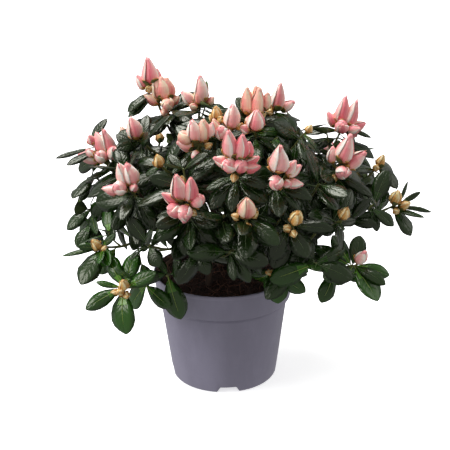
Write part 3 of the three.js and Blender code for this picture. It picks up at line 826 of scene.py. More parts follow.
# Name, what carries it, bearing, climb, reach and bloom of its main head, and its other heads: turn and
# distance from the main one, reach and bloom
masses = [
    ("crown_left", "trunk", -113, 61, 1.03, "full",
     [(180, 3, 1.2, "single"), (-7, 35, 1, "single"), (105, 56, 1, "single")]),
    ("crown_right", "trunk", 16, 74, 1, "full",
     [(54, 36, 1, "full"), (-173, 22, 1, "single"), (119, 51, 1, "tight"), (70, 74, 0.85, "none")]),
    ("front_top", "trunk", -27, 58, 1, "full",
     [(41, 25, 1, "full"), (3, 34, 1, "tight"), (-179, 44, 1, "tight"), (-135, 39, 1, "tight")]),
    ("front_centre", "trunk", -2, 46, 1, "full",
     [(101, 37, 1, "full"), (167, 39, 1, "single"), (131, 69, 1, "tight"), (-175, 74, 0.95, "none")]),
    ("front_low_left", "side_stem", -21, 31, 1, "full",
     [(157, 35, 0.96, "none"), (-133, 50, 0.97, "none"), (85, 30, 0.92, "none")]),
    ("front_left", "trunk", -52, 34, 1, "full", [(-68, 38, 0.95, "none"), (-159, 68, 1, "tight")]),
    ("shoulder_left", "trunk", -95, 33, 0.98, "full",
     [(-6, 7, 1.16, "tight"), (-176, 17, 1.06, "none"), (159, 47, 1, "none")]),
    ("foot_left", "front_left", -46, -2, 1, "tight", [(77, 24, 0.75, "none")]),
    ("shoulder_right", "trunk", 58, 42, 0.95, "full",
     [(65, 81, 1.03, "full"), (-135, 57, 1, "tight"), (-170, 50, 0.9, "none"), (-95, 34, 0.95, "none")]),
    ("side_right", "trunk", 86, 15, 1.04, "tight", [(21, 41, 1.04, "tight"), (-62, 36, 0.94, "none")]),
    ("foot_right", "trunk", 44, 6, 0.99, "single",
     [(-73, 44, 0.98, "none"), (-103, 61, 0.6, "tight"), (-42, 52, 0.95, "none")]),
    ("back_crown", "trunk", 165, 52, 0.87, "tight", [(80, 40, 0.86, "none"), (-75, 40, 0.86, "single")]),
    ("back_right", "trunk", 128, 30, 0.98, "full",
     [(80, 38, 0.95, "full"), (-75, 36, 1, "single"), (170, 42, 0.96, "tight"), (-145, 52, 1, "none")]),
    ("back", "trunk", 176, 28, 0.97, "full",
     [(165, 44, 0.93, "single"), (-120, 46, 0.95, "tight"), (120, 44, 0.94, "none")]),
    ("back_left", "trunk", -138, 30, 0.97, "full",
     [(-75, 38, 0.95, "tight"), (75, 40, 0.95, "single"), (-165, 42, 0.95, "none"),
      (145, 50, 0.97, "tight")]),
]


def scaledBy(vector, factors):
    return Vector([a * b for a, b in zip(vector, factors)])


def dividedBy(vector, factors):
    return Vector([a / b for a, b in zip(vector, factors)])


def onCrown(bearing, climb, reach):
    way = outward(bearing) * math.cos(math.radians(climb)) + up * math.sin(math.radians(climb))
    return scaledBy(way, crown["radii"]) * reach + crown["centre"]


def headAt(tip, bloom):
    away = dividedBy(tip - crown["centre"], crown["radii"]).normalized()
    return {"tip": tip, "bloom": bloom, "axis": (away + up * shoot["uprightness"]).normalized()}


def headsOf(bearing, climb, reach, bloom, sides):
    main = onCrown(bearing, climb, reach)
    across = Vector((math.cos(math.radians(bearing)), math.sin(math.radians(bearing)), 0))
    uphill = up * math.cos(math.radians(climb)) - outward(bearing) * math.sin(math.radians(climb))
    heads = [headAt(main, bloom)]
    for turn, distance, sideReach, sideBloom in sides:
        angle = math.radians(turn)
        off = main + across * (distance * math.sin(angle)) + uphill * (distance * math.cos(angle))
        off = off - crown["centre"]
        off *= sideReach / dividedBy(off, crown["radii"]).length
        heads.append(headAt(crown["centre"] + off, sideBloom))
    return heads


# Stems, boughs and main shoots as lines
fineSteps = 60
ground = Vector((0, 0, peat["seatHeight"]))
trunkRise = trunk["lean"] + up * trunk["height"]
trunkLine = spline([ground, ground + scaledBy(trunkRise, trunk["sway"]), ground + trunkRise], fineSteps)
sideFoot = outward(sideStem["bearing"]) * sideStem["circle"]
sideFoot.z = peatHeight(sideFoot.x, sideFoot.y) - sideStem["sunk"]
sideLine = spline([sideFoot + sideStem["lean"] * t * t + up * (sideStem["height"] * t) for t in (0, 0.5, 1)],
                  fineSteps)
carriers = {"trunk": trunkLine, "side_stem": sideLine}
plans = []
for number, (massName, carrierName, bearing, climb, reach, bloom, sides) in enumerate(masses):
    random = dice(number)
    heads = headsOf(bearing, climb, reach, bloom, sides)
    centroid = sum((head["tip"] for head in heads), Vector()) / len(heads)
    onTrunk = carrierName == "trunk"
    level = bough["lowest"] + climb / bough["climbSpan"] if onTrunk else bough["levels"][carrierName]
    foot = carriers[carrierName][round(level * fineSteps)]
    tip = foot.lerp(centroid, bough["entry"])
    arch = mix(random, *bough["archShare"]) * bough["arch"] * (-1 if onTrunk else 1)
    line = spline([foot, foot.lerp(tip, 0.5) + up * arch, tip], fineSteps)
    carriers[massName] = line
    along = (line[-1] - line[-2]).normalized()
    fork = (tip + along * shoot["stemGap"]).lerp(centroid, shoot["stemShare"])
    twigs = []
    for head in heads:
        length = (head["tip"] - fork).length
        under = head["tip"] - head["axis"] * (shoot["bend"] * length)
        steps = max(shoot["fewestSteps"], round(length / shoot["stepLength"]))
        twigs.append(spline([fork, fork.lerp(under, shoot["bendAt"]), head["tip"]], steps))
    footRadius = bough["footRadius"] if onTrunk else bough["childFootRadius"]
    plans.append({"name": massName, "number": number, "heads": heads, "line": line, "along": along,
                  "fork": fork, "twigs": twigs, "footRadius": footRadius})
print("growth:", len(plans), "masses,", sum(len(plan["heads"]) for plan in plans), "main shoots")

# Bark with its relief, on the trunk, the side stem and the boughs
bark = {
    "trunkSides": 64, "trunkRings": 70, "trunkDepth": 0.75, "sunk": 2.0, "footShare": 0.93, "flareFade": 2.2,
    "lobes": 5, "lobeDepth": 0.13, "lobeTurn": 0.6, "lobeHeight": 14.0, "capLength": 0.1, "capShare": 0.3,
    "furrowAround": 1.7, "furrowAlong": 0.11, "furrowWidth": 2.4, "furrowFloor": 0.55,
    "fractal": (0.8, 2.1, 4), "ringPace": 0.45, "ringDepth": 0.35, "seedSteps": (7.3, 3.1),
    "boughSides": 20, "ringPitch": 1.6, "boughDepth": 0.28, "collar": 0.35, "collarLength": 9.0,
    "colour": "#4d3a2e", "dark": "#2b1f19", "scale": 170.0,
}


def barkRelief(depth, seed):
    around = bark["furrowAround"]
    furrowSeed, ringSeed = [seed * step for step in bark["seedSteps"]]

    def relief(travelled, turn, radius):
        height = travelled * bark["furrowAlong"] + furrowSeed
        place = Vector((math.cos(turn) * around, math.sin(turn) * around, height))
        furrow = 1 - abs(noise.fractal(place, *bark["fractal"])) * bark["furrowWidth"]
        ring = noise.noise(Vector((travelled * bark["ringPace"], ringSeed, 0))) * bark["ringDepth"]
        return depth * (max(-1.0, furrow) - bark["furrowFloor"] + ring)

    return relief


def makeBark():
    material = newMaterial("bark", bark["colour"], Roughness=0.85, Specular_IOR_Level=0.35)
    patched(material, bark["colour"], bark["dark"], bark["scale"], balance=0.52, stretch=(1, 1, 0.35))
    grained(material, scale=1400.0, depth=0.25, smoothest=0.7, roughest=0.95, stretch=(1, 1, 0.4))

    rings = bark["trunkRings"]
    line = spaced([trunkLine[0] - up * bark["sunk"], *trunkLine], rings)
    total = trunk["height"] + bark["sunk"]
    capStart = 1 - bark["capLength"]
    radii = []
    for i in range(rings + 1):
        height = total * i / rings - bark["sunk"]
        flare = trunk["flare"] * math.exp(-max(0.0, height) / trunk["flareHeight"] * bark["flareFade"])
        share = max(0.0, height) / trunk["height"]
        cap = math.sqrt(max(0.0, 1 - max(0.0, (share - capStart) / bark["capLength"]) ** 2))
        taper = trunk["footRadius"] * bark["footShare"] + (trunk["forkRadius"] - trunk["footRadius"]) * share
        radii.append((taper + flare) * (bark["capShare"] + (1 - bark["capShare"]) * cap))
    plain = barkRelief(bark["trunkDepth"], 1)

    def trunkRelief(travelled, turn, radius):
        lobes = math.cos(bark["lobes"] * turn + bark["lobeTurn"]) * radius * bark["lobeDepth"]
        return plain(travelled, turn, radius) + lobes * math.exp(-travelled / bark["lobeHeight"])

    points, faces = tube(line, radii, bark["trunkSides"], trunkRelief)
    finishPiece(newPiece("trunk_bark", meshOf("trunk_bark", points, faces, material)), "bark", "trunk")

    steps = round(sideStem["height"] / bark["ringPitch"])
    radii = [sideStem["footRadius"] + (sideStem["tipRadius"] - sideStem["footRadius"]) * i / steps
             for i in range(steps + 1)]
    points, faces = tube(
        spaced(sideLine, steps), radii, bark["boughSides"], barkRelief(bark["boughDepth"], 2))
    sidePiece = newPiece("side_stem_bark", meshOf("side_stem_bark", points, faces, material))
    finishPiece(sidePiece, "bark", "side_stem")

    allPoints = []
    allFaces = []
    for plan in plans:
        length = lengthOf(plan["line"])
        steps = round(length / bark["ringPitch"])
        radii = []
        for i in range(steps + 1):
            share = i / steps
            collar = bark["collar"] * math.exp(-share * length / bark["collarLength"] * 2)
            taper = plan["footRadius"] + (bough["tipRadius"] - plan["footRadius"]) * share
            radii.append(taper * (1 + collar))
        points, faces = tube(spaced(plan["line"], steps), radii, bark["boughSides"],
                             barkRelief(bark["boughDepth"], 10 + plan["number"]))
        first = len(allPoints)
        allPoints += points
        allFaces += [tuple(corner + first for corner in face) for face in faces]
    boughs = newPiece("boughs_bark", meshOf("boughs_bark", allPoints, allFaces, material))
    finishPiece(boughs, "bark", *boughNodes)


makeBark()

# Space that is already taken, as small cells, so that leaves lie over each other without crossing
cell = 2.1
taken = set()
openCell = 4.0
opened = set()
potClearance = 1.5
nearCells = [(0, 0, 0), (1, 0, 0), (-1, 0, 0), (0, 1, 0), (0, -1, 0), (0, 0, 1), (0, 0, -1)]


def cellsOf(points, size=cell):
    return [tuple(row) for row in np.floor(np.asarray(points) / size).astype(int).tolist()]


def isFree(points, heedView=True):
    for x, y, z in cellsOf(points):
        for i, j, k in nearCells:
            if (x + i, y + j, z + k) in taken:
                return False
    return not heedView or opened.isdisjoint(cellsOf(points, openCell))


def take(points):
    taken.update(cellsOf(points))


def clearOfPot(points):
    radius = np.hypot(points[:, 0], points[:, 1])
    inPot = (radius < pot["rimRadius"] + potClearance) & (points[:, 2] < pot["height"] + potClearance)
    if inPot.any():
        return False
    low = points[(radius < pot["rimRadius"]) & (points[:, 2] < peat["seatHeight"] + peat["lumpHeight"])]
    return all(z > peatHeight(x, y) + potClearance for x, y, z in low.tolist())


for plan in plans:
    take([tuple(point) for point in plan["line"]])
take([tuple(point) for point in trunkLine + sideLine])


# A closed thin blade: a fine upper side and a coarse lower one that share their edge. place gives the point
# and the outward direction of the upper side at a share along and a side from -1 to 1.
def blade(heights, sides, place, thickness, tintOf=lambda t, u: 0, underTint=1):
    points = []
    maps = []
    faces = []
    tints = []

    def put(t, u, drop=0.0):
        point, away = place(t, u)
        points.append(point - away * drop)
        maps.append((u / 2 + 0.5, t))
        return len(points) - 1

    def face(corners, tint=None):
        faces.append(corners)
        middle = [sum(maps[corner][axis] for corner in corners) / len(corners) for axis in (0, 1)]
        tints.append(tintOf(middle[1], middle[0] * 2 - 1) if tint is None else tint)

    foot = put(heights[0], 0)
    rows = [[put(t, u) for u in sides] for t in heights[1:-1]]
    keel = [put(t, 0, thickness) for t in heights[1:-1]]
    tip = put(heights[-1], 0)
    for near, far in zip(rows[0], rows[0][1:]):
        face((foot, far, near))
    for row, above in zip(rows, rows[1:]):
        for a, b, c, d in zip(row, row[1:], above[1:], above):
            face((a, b, c, d))
    for near, far in zip(rows[-1], rows[-1][1:]):
        face((near, far, tip))
    face((foot, rows[0][0], keel[0]), underTint)
    face((foot, keel[0], rows[0][-1]), underTint)
    for i in range(len(rows) - 1):
        face((rows[i][0], rows[i + 1][0], keel[i + 1], keel[i]), underTint)
        face((keel[i], keel[i + 1], rows[i + 1][-1], rows[i][-1]), underTint)
    face((rows[-1][0], tip, keel[-1]), underTint)
    face((keel[-1], tip, rows[-1][-1]), underTint)
    return points, faces, maps, tints


# Leaves: obovate, folded at the midrib, arched over their length and rolled down at the edges
leaf = {
    "length": 39.0, "width": 0.43, "widest": 0.57, "footPower": 1.05, "tipPower": 0.74, "thickness": 0.012,
    "widths": (0.86, 1.18), "stalk": 0.05, "shapes": 8, "rows": 8, "rowEase": 1.15,
    "sides": (-1, -0.5, 0, 0.5, 1), "start": (-0.3, 0.02), "bend": (0.15, 0.95), "bendPower": 1.3,
    "bendSteps": 40, "fold": (0.12, 0.4), "roll": (0.1, 0.42), "wave": (0.0, 0.12), "waves": 13,
    "sidePhase": 2, "twist": (-0.35, 0.35),
    "testRows": (0.34, 0.43, 0.52, 0.61, 0.7, 0.79, 0.88, 0.97), "testSides": (-0.95, -0.5, 0, 0.5, 0.95),
    "looseRows": 3,
}


def leafWidth(t):
    t = min(max((t - leaf["stalk"]) / (1 - leaf["stalk"]), 0.0), 1.0)
    foot = (t / leaf["widest"]) ** leaf["footPower"]
    tip = ((1 - t) / (1 - leaf["widest"])) ** leaf["tipPower"]
    return foot * tip


widestLeaf = max(leafWidth(i / 200) for i in range(201))


def leafPlace(seed):
    random = dice(500 + seed)
    start, bend, fold, roll, wave = [
        mix(random, *leaf[name]) for name in ("start", "bend", "fold", "roll", "wave")]
    phase = mix(random, 0, math.tau)
    twist = mix(random, *leaf["twist"])
    width = leaf["width"] / 2 * mix(random, *leaf["widths"])
    steps = leaf["bendSteps"]
    axis = [Vector((0, 0, 0))]
    for i in range(steps):
        droop = start + bend * ((i + 0.5) / steps) ** leaf["bendPower"]
        axis.append(axis[-1] + Vector((0, math.cos(droop), -math.sin(droop))) / steps)

    def place(t, u):
        at = min(max(t, 0.0), 1.0) * steps
        low = min(int(at), steps - 1)
        middle = axis[low].lerp(axis[low + 1], at - low)
        droop = start + bend * min(max(t, 0.0), 1.0) ** leaf["bendPower"]
        over = Vector((0, math.sin(droop), math.cos(droop)))
        half = width * leafWidth(t) / widestLeaf
        sidePhase = leaf["sidePhase"] if u > 0 else 0
        ripple = wave * math.sin(t * leaf["waves"] + phase + sidePhase) * abs(u) ** 3
        lift = fold * abs(u) - roll * u * u + ripple
        turn = twist * t * u
        point = middle + rightward * (u * half) + over * ((lift + turn) * half)
        return point, over

    return place


def leafHeights():
    rows = leaf["rows"]
    first = leaf["stalk"]
    shares = [math.sin(math.pi / 2 * i / rows) ** leaf["rowEase"] for i in range(rows + 1)]
    return [first + (1 - first) * share for share in shares]


leafPlaces = [leafPlace(seed) for seed in range(leaf["shapes"])]
leafSamples = []
for place in leafPlaces:
    spots = [place(t, u)[0] for t in leaf["testRows"] for u in leaf["testSides"]]
    leafSamples.append(np.array([tuple(spot) for spot in spots]))
looseSamples = leaf["looseRows"] * len(leaf["testSides"])  # where a leaf set one by one may cross others

# Buds: petals that wrap each other round a closed core, on a foot of scales
budKinds = labelled(("length", "radius", "widest", "sharpness", "petals"), {
    "tall": (29.5, 6.3, 0.35, 1.6, 3),
    "broad": (31.0, 8.3, 0.3, 1.5, 4),
    "stout": (22.0, 7.6, 0.36, 1.7, 4),
    "middling": (25.0, 6.6, 0.4, 1.75, 3),
    "round": (15.5, 6.0, 0.48, 2.5, 3),
    "slim": (18.0, 4.8, 0.4, 1.75, 3),
    "small": (11.5, 3.7, 0.42, 1.9, 3),
    "tight": (14.0, 4.3, 0.4, 1.8, 5),
    "plump": (16.5, 5.5, 0.44, 2.0, 5),
    "seed": (9.5, 3.1, 0.4, 1.7, 4),
})
bud = {
    "lengths": (0.9, 1.0), "radii": (0.9, 1.03), "turns": (-6, 6), "leans": (-3, 3), "paints": (-0.6, 1.8),
    "forms": 3, "footRadius": 0.42, "slimmest": 0.02, "overlap": 1.3, "overlaps": (0.93, 1.07),
    "swells": (0.93, 1.05), "wrap": 0.15, "keel": 0.09, "thickness": 0.03, "twist": (8.0, 38.0),
    "openness": (0.03, 0.17), "petalLengths": (0.9, 1.0), "outlinePowers": (2.2, 0.85), "footBreadth": 0.6,
    "core": 0.86, "straws": ("tight", "plump", "seed"),
    "testRings": ((0.15, 0.6), (0.37, 1.0), (0.6, 0.85), (0.85, 0.4), (1.0, 0.0)), "testSides": 8,
    "heights": (0.0, 0.14, 0.3, 0.46, 0.62, 0.78, 0.91, 1.0),
    "sides": (-1, -0.7, -0.45, -0.22, 0.0, 0.22, 0.45, 0.68, 0.86, 1),
}
budScale = {
    "count": 5, "forms": 4, "reach": 0.22, "longReach": 0.34, "longOn": ("tight", "plump", "seed", "small"),
    "longer": 0.03, "footEnd": 0.4, "tipStart": 0.8,
    "heights": (0.0, 0.3, 0.6, 0.85, 1.0), "sides": (-1, -0.5, 0, 0.5, 1),
}
budStalk = {"radius": 1.15, "depth": 2.0, "bendAt": 0.4, "reach": 2.5, "steps": 4}
# What a head carries: kind of bud, turn from the head's outer side (to the right seen from outside), lean off
# its axis, place off its axis and depth below its tip
blooms = {
    "full": [
        ("tall", -88, 4, 3.8, 1.0), ("tall", 92, 6, 3.8, 2.5), ("tall", 178, 12, 3.8, 5.0),
        ("round", -44, 52, 4.4, 1.5), ("round", 34, 56, 4.4, 2.5),
        ("slim", -100, 54, 4.4, 1.0), ("slim", 102, 58, 4.4, 2.0), ("small", -4, 92, 4.0, 6.0),
    ],
    "single": [
        ("broad", 0, 4, 0.0, 1.5), ("slim", -80, 40, 4.4, 2.5), ("small", 70, 56, 4.2, 2.5),
        ("seed", 10, 70, 4.2, 4.5),
    ],
    "tight": [("tight", 0, 4, 0.0, 2.0), ("seed", 60, 48, 2.6, 3.0), ("seed", -118, 56, 2.6, 4.0)],
    "none": [],
}
# Heads that show from the front, bud by bud as they stand on the plant, with their paint and their lift
frontBlooms = {
    ("front_low_left", 0): ("rosy", 8, [
        ("tall", -80, 2, 2.6, -4.5), ("tall", 82, 11, 4.4, -2.5), ("slim", -90, 44, 5.6, -1.5),
        ("round", 66, 44, 6.0, 0.5), ("round", -50, 66, 5.0, 2.5), ("round", -4, 66, 4.6, 3.0),
        ("small", -18, 96, 4.4, 7.5), ("seed", 46, 86, 4.2, 5.5)]),
    ("front_centre", 1): ("pink", 8, [
        ("broad", -60, 4, 2.6, -4.0), ("slim", 80, 22, 5.4, -1.5), ("slim", 98, 44, 5.4, 1.0),
        ("round", -14, 66, 5.0, 4.0), ("small", 40, 72, 5.0, 5.0), ("slim", 84, 84, 5.0, 7.0)]),
    ("front_centre", 0): ("rosy", 10, [
        ("tall", -74, 3, 3.8, -5.0), ("tall", 62, 5, 4.0, -4.0), ("slim", 104, 12, 8.6, -3.0),
        ("round", -30, 40, 5.0, 2.0), ("round", 26, 46, 5.0, 2.5), ("slim", -86, 54, 5.2, 1.5),
        ("slim", 78, 80, 5.2, 5.0), ("slim", 96, 66, 5.6, 3.0), ("seed", -8, 108, 4.6, 8.0)]),
    ("front_centre", 2): ("creamy", 1, [
        ("stout", 30, 3, 0.8, 1.5), ("seed", -78, 60, 5.0, 3.0), ("seed", 2, 84, 4.4, 6.0),
        ("seed", 96, 40, 4.4, 4.0)]),
    ("front_top", 0): ("pale", 2, [
        ("middling", -66, 4, 2.6, 1.5), ("middling", 84, 7, 4.4, 2.0), ("round", -88, 22, 8.0, 2.0),
        ("slim", 88, 24, 8.4, -1.0), ("slim", -88, 60, 5.2, 6.0), ("seed", 66, 66, 5.0, 6.0),
        ("small", -24, 96, 4.4, 9.0)]),
    ("front_top", 1): ("pale", -5, [
        ("middling", 88, 4, 5.0, -6.0), ("slim", -82, 14, 6.0, -1.0), ("round", -20, 34, 3.0, 0.0),
        ("seed", 92, 48, 9.0, -6.0), ("small", 10, 66, 4.6, 4.0)]),
    ("crown_right", 0): ("creamy", 1, [
        ("tall", -84, 3, 2.4, 1.0), ("tall", 66, 6, 4.8, 1.5), ("tall", 150, 9, 3.8, 2.0),
        ("slim", 90, 10, 11.0, -4.0), ("seed", 40, 60, 4.6, 3.0), ("seed", 88, 62, 5.2, 3.0),
        ("small", -10, 70, 4.4, 4.0)]),
    ("crown_right", 1): ("pink", -3, [
        ("tall", 40, 3, 2.6, 2.0), ("slim", 92, 56, 5.2, 2.0), ("small", -80, 44, 4.6, 2.0),
        ("seed", -30, 70, 4.6, 3.5), ("tight", -150, 20, 6.0, 2.0)]),
    ("crown_right", 2): ("pink", 3, [("stout", 0, 5, 0.0, 3.0), ("small", -84, 62, 4.6, 4.0)]),
    ("crown_left", 0): ("creamy", 5, [
        ("middling", -78, 4, 3.0, -1.5), ("middling", 14, 3, 3.4, -1.5), ("middling", 86, 6, 3.6, -0.5),
        ("slim", -84, 46, 5.4, 1.0), ("round", 14, 66, 4.8, 4.0), ("small", -14, 98, 4.4, 7.0),
        ("small", 88, 62, 5.0, 3.0)]),
    ("crown_left", 1): ("rosy", 1, [
        ("broad", 60, 2, 1.0, 1.5), ("slim", 84, 13, 5.6, 2.5), ("slim", -88, 20, 5.4, 3.0),
        ("seed", -10, 60, 4.4, 4.0)]),
    ("crown_left", 2): ("pale", -3, [
        ("tall", 40, 5, 1.6, 0.0), ("slim", -30, 6, 3.0, 1.0), ("slim", -92, 34, 7.0, 0.0),
        ("small", 90, 44, 5.2, 3.0), ("small", -50, 60, 4.6, 4.0)]),
    ("crown_left", 3): ("pink", 1, [("middling", 0, 4, 0.0, 1.0)]),
    ("shoulder_left", 0): ("pink", 9, [
        ("middling", -70, -6, 1.6, -2.5), ("tall", 76, 3, 5.4, 0.5), ("middling", -90, 62, 6.0, 0.5),
        ("round", -30, 40, 4.6, 2.0), ("round", 46, 40, 5.4, 3.5), ("small", -60, 22, 12.0, -5.0)]),
    ("shoulder_left", 1): ("rosy", 0, [("small", 20, 12, 2.0, 1.0), ("seed", 90, 70, 3.0, 3.0)]),
    ("front_left", 0): ("pink", 3, [
        ("middling", -76, -2, 1.4, -1.0), ("middling", 76, 4, 5.4, -1.0), ("slim", -92, 60, 8.4, 3.0),
        ("round", -40, 50, 4.6, -1.0), ("small", 34, 62, 4.8, 1.0)]),
    ("shoulder_right", 0): ("pink", 5, [
        ("broad", 0, 3, 0.0, -1.5), ("slim", -86, 16, 7.0, 2.0), ("middling", 88, 30, 6.0, 3.0),
        ("round", 4, 66, 5.4, 5.0), ("small", 44, 66, 5.4, 5.0), ("seed", -14, 124, 4.6, 10.0)]),
    ("shoulder_right", 1): ("rosy", 0, [
        ("tall", -80, 3, 3.8, -1.0), ("tall", 84, 5, 3.8, 0.0), ("slim", -94, 42, 6.0, 2.5),
        ("slim", 96, 52, 7.0, 1.0), ("round", -16, 50, 5.0, 3.0), ("slim", 50, 62, 5.6, 2.5),
        ("small", 70, 82, 5.2, 5.5)]),
    ("crown_right", 3): ("pink", 0, [("seed", 90, 20, 1.0, 0.0)]),
    ("front_top", 3): ("pink", 0, [("seed", 90, 14, 1.0, 0.0), ("seed", -40, 60, 2.0, 2.0)]),
    ("front_top", 4): ("pink", 0, [("tight", 90, 4, 0.0, 2.0)]),
    ("shoulder_right", 2): ("pink", 5, [("tight", 90, 4, 0.0, 2.0)]),
    ("foot_right", 0): ("pale", 5, [("slim", 0, 3, 0.0, 1.5)]),
    ("back_crown", 2): ("pale", 0, [("seed", 0, 3, 0.0, 1.5)]),
    ("back_right", 1): ("pale", 0, [("seed", 0, 3, 0.0, 1.5)]),
    ("back_right", 2): ("pale", 0, [("seed", 0, 3, 0.0, 1.5)]),
    ("back_left", 0): ("pale", 5, [("tight", 90, 4, 6.0, 2.0)]),
    ("back_right", 0): ("pink", -6, [
        ("round", -88, 10, 4.6, 1.0), ("slim", 92, 12, 4.6, 2.5), ("round", 180, 50, 4.4, 1.5)]),
    ("foot_right", 2): ("pale", 4, [("tight", 88, 8, 4.0, 0.0), ("seed", -60, 60, 2.6, 5.0)]),
    ("front_centre", 3): ("pale", 2, [
        ("plump", 30, 4, 1.0, 0.0), ("seed", -50, 56, 3.6, 4.5), ("seed", 10, 80, 3.4, 6.0)]),
    ("side_right", 0): ("pale", 1, [
        ("plump", -60, 14, 3.0, 1.0), ("tight", 70, 30, 3.6, 2.0), ("seed", 10, 74, 3.4, 5.0),
        ("seed", 100, 60, 3.6, 3.0)]),
    ("foot_left", 0): ("pale", 0, [
        ("tight", 70, 20, 2.6, 2.0), ("seed", -80, 50, 3.6, 3.0), ("seed", -10, 40, 3.4, 2.0),
        ("seed", 20, 80, 3.4, 5.0)]),
}
# Shades run from the deepest to the palest. A petal's foot is straw too.
pinks = ["#e66b77", "#ee828a", "#f49a9c", "#f8afab", "#fbc3ba", "#fdd7cb", "#ffe8dc", "#fff7ec"]
creams = ["#df7d76", "#ec9a8d", "#f3b5a2", "#f6cbb2", "#f7dcbf", "#f9ecd2"]
straws = ["#743d17", "#a4682c", "#c8924c", "#dfbb7b", "#f2deb0"]
petalColours = pinks + creams + straws
scaleTints = {"straw": "#dfbf84", "tan": "#bb8746", "brown": "#7a3f20", "green": "#565c28"}


def petalPlace(kind, seed, petals, reach=1.0, lift=1.0, flare=0.0, shoulder=0.58):
    random = dice(600 + seed)
    rule = budKinds[kind]
    openness = mix(random, *bud["openness"]) + flare
    angle = math.radians(180 / petals * bud["overlap"] * mix(random, *bud["overlaps"]))
    twist = math.radians(mix(random, *bud["twist"])) * reach
    swell = mix(random, *bud["swells"])
    narrowing, closing = bud["outlinePowers"]

    def place(t, u):
        height = t * reach
        if height < rule["widest"]:
            rise = math.sin(math.pi / 2 * height / rule["widest"])
            radius = bud["footRadius"] + (1 - bud["footRadius"]) * rise
        else:
            radius = 1 - ((height - rule["widest"]) / (1 - rule["widest"])) ** rule["sharpness"]
        radius = max(radius, bud["slimmest"]) * lift + openness * t**4
        outline = max(0.0, 1 - max(0.0, (t - shoulder) / (1 - shoulder)) ** narrowing) ** closing
        outline *= min(1.0, bud["footBreadth"] + 2 * t)
        turn = angle * outline * u + twist * t
        radius *= swell * (1 + bud["wrap"] * u + bud["keel"] * math.cos(u * math.pi / 2))
        away = Vector((math.sin(turn), -math.cos(turn), 0))
        return away * radius + up * height, away

    return place


# How a petal is painted: its shades, the deepest and palest of them, the width of its deep part, and what the
# margin, the tip and the foot add to the shade
petalPaints = labelled(("shades", "deepest", "palest", "width", "margin", "tip", "foot"), {
    "rosy": (pinks, 0.2, 4.9, 1.1, 1.6, 0.6, -0.6),
    "pink": (pinks, 1.3, 5.9, 0.95, 1.2, 1.0, -0.8),
    "pale": (pinks, 2.6, 6.6, 1.0, 1.0, 1.6, -1.2),
    "creamy": (creams, 0.2, 3.6, 0.9, 0.8, 2.0, -0.8),
    "straw": (straws, 1.7, 3.4, 0.9, 0.4, 1.4, -1.3),
})
# Where a petal's shades change, by its length from the foot and by its half breadth
petalMarks = {
    # The deepest shade leans towards the side that the next petal's margin covers: partly the petal's own
    # rose panel, partly painted shadow along that margin.
    "deepestAndShadowAt": (-0.6, 0.2), "fadePower": 1.2, "marginFrom": 0.84, "tipFrom": 0.55, "tipSpan": 0.4,
    "footTo": 0.34, "footSpan": 0.25, "strawTo": 0.13,
}


def petalTint(paintName, seed):
    random = dice(700 + seed)
    rule = petalPaints[paintName]
    centre = mix(random, *petalMarks["deepestAndShadowAt"])
    first = petalColours.index(rule["shades"][0])
    straw = petalColours.index(straws[0])

    def tint(t, u):
        fade = min(1.0, abs(u - centre) / rule["width"]) ** petalMarks["fadePower"]
        margin = rule["margin"] * (u > petalMarks["marginFrom"])
        shade = rule["deepest"] + (rule["palest"] - rule["deepest"]) * fade
        shade += margin + rule["tip"] * max(0.0, t - petalMarks["tipFrom"]) / petalMarks["tipSpan"]
        shade += rule["foot"] * max(0.0, petalMarks["footTo"] - t) / petalMarks["footSpan"]
        if first != straw and t < petalMarks["strawTo"]:
            return straw + 2
        return first + min(len(rule["shades"]) - 1, max(0, round(shade)))

    return tint


scaleOrder = list(scaleTints)


def scaleTint(seed):
    def tint(t, u):
        colour = "brown" if t < budScale["footEnd"] else "straw" if t > budScale["tipStart"] else "tan"
        if seed == budScale["forms"] - 1:
            colour = "green" if t < budScale["tipStart"] else "tan"
        return scaleOrder.index(colour)

    return tint


# Growing: heads of buds first, then the leaves round and below them, then side twigs with their own
whorl = {
    "budded": {"leaves": 11, "steepest": 66, "level": 107, "depth": 5.0},
    "bare": {"leaves": 9, "steepest": 50, "level": 98, "depth": 0.5},
    "side": {"leaves": 6, "steepest": 48, "level": 92, "depth": 0.5},
    "turn": 137.5, "pitch": 1.0, "lowerPitch": 3.6, "lowerTilt": (60, 104), "lowerStop": 12.0,
    "openMasses": ("foot_left", "foot_right", "side_right"), "openPitch": 10.0, "openShare": 0.7,
    "tilts": (-7, 7), "lowerStart": 17.0, "pitches": (0.8, 1.3),
    "small": 3, "smallTilt": (34, 60), "smallLength": (0.36, 0.56), "smallDepth": 2.0,
    "topLength": 0.8, "lengthGain": 0.2, "gainPace": 2.5,
    "length": (0.84, 1.1), "lowerLength": (0.68, 1.0), "sideLength": (0.58, 0.86),
    "sag": 0.12, "faceUp": 0.3, "faceFront": 0.3, "roll": 30.0, "breadth": (0.88, 1.08), "freshBreadth": 0.05,
    "frontFace": 0.9,
    "frontNudges": [(0, 0), (6, 8), (-6, -8), (0, 16), (10, 0), (-10, 0), (0, -16), (14, 24), (-14, 24),
                    (0, 40)],
    "nudges": [(0, 0), (-10, 14), (10, -14), (-16, -24), (16, 26), (-8, 40), (-8, -40), (-18, 10), (26, 0),
               (-14, 50), (12, 56), (-14, -52), (12, -58), (40, 0), (38, 24), (38, -24), (52, 8)],
}
sideTwig = {"every": 19.0, "first": 0.3, "last": 0.8, "length": (13.0, 26.0), "angle": (38, 62), "rise": 0.45,
            "radius": (0.95, 0.75), "steps": 6, "rounding": 0.6}
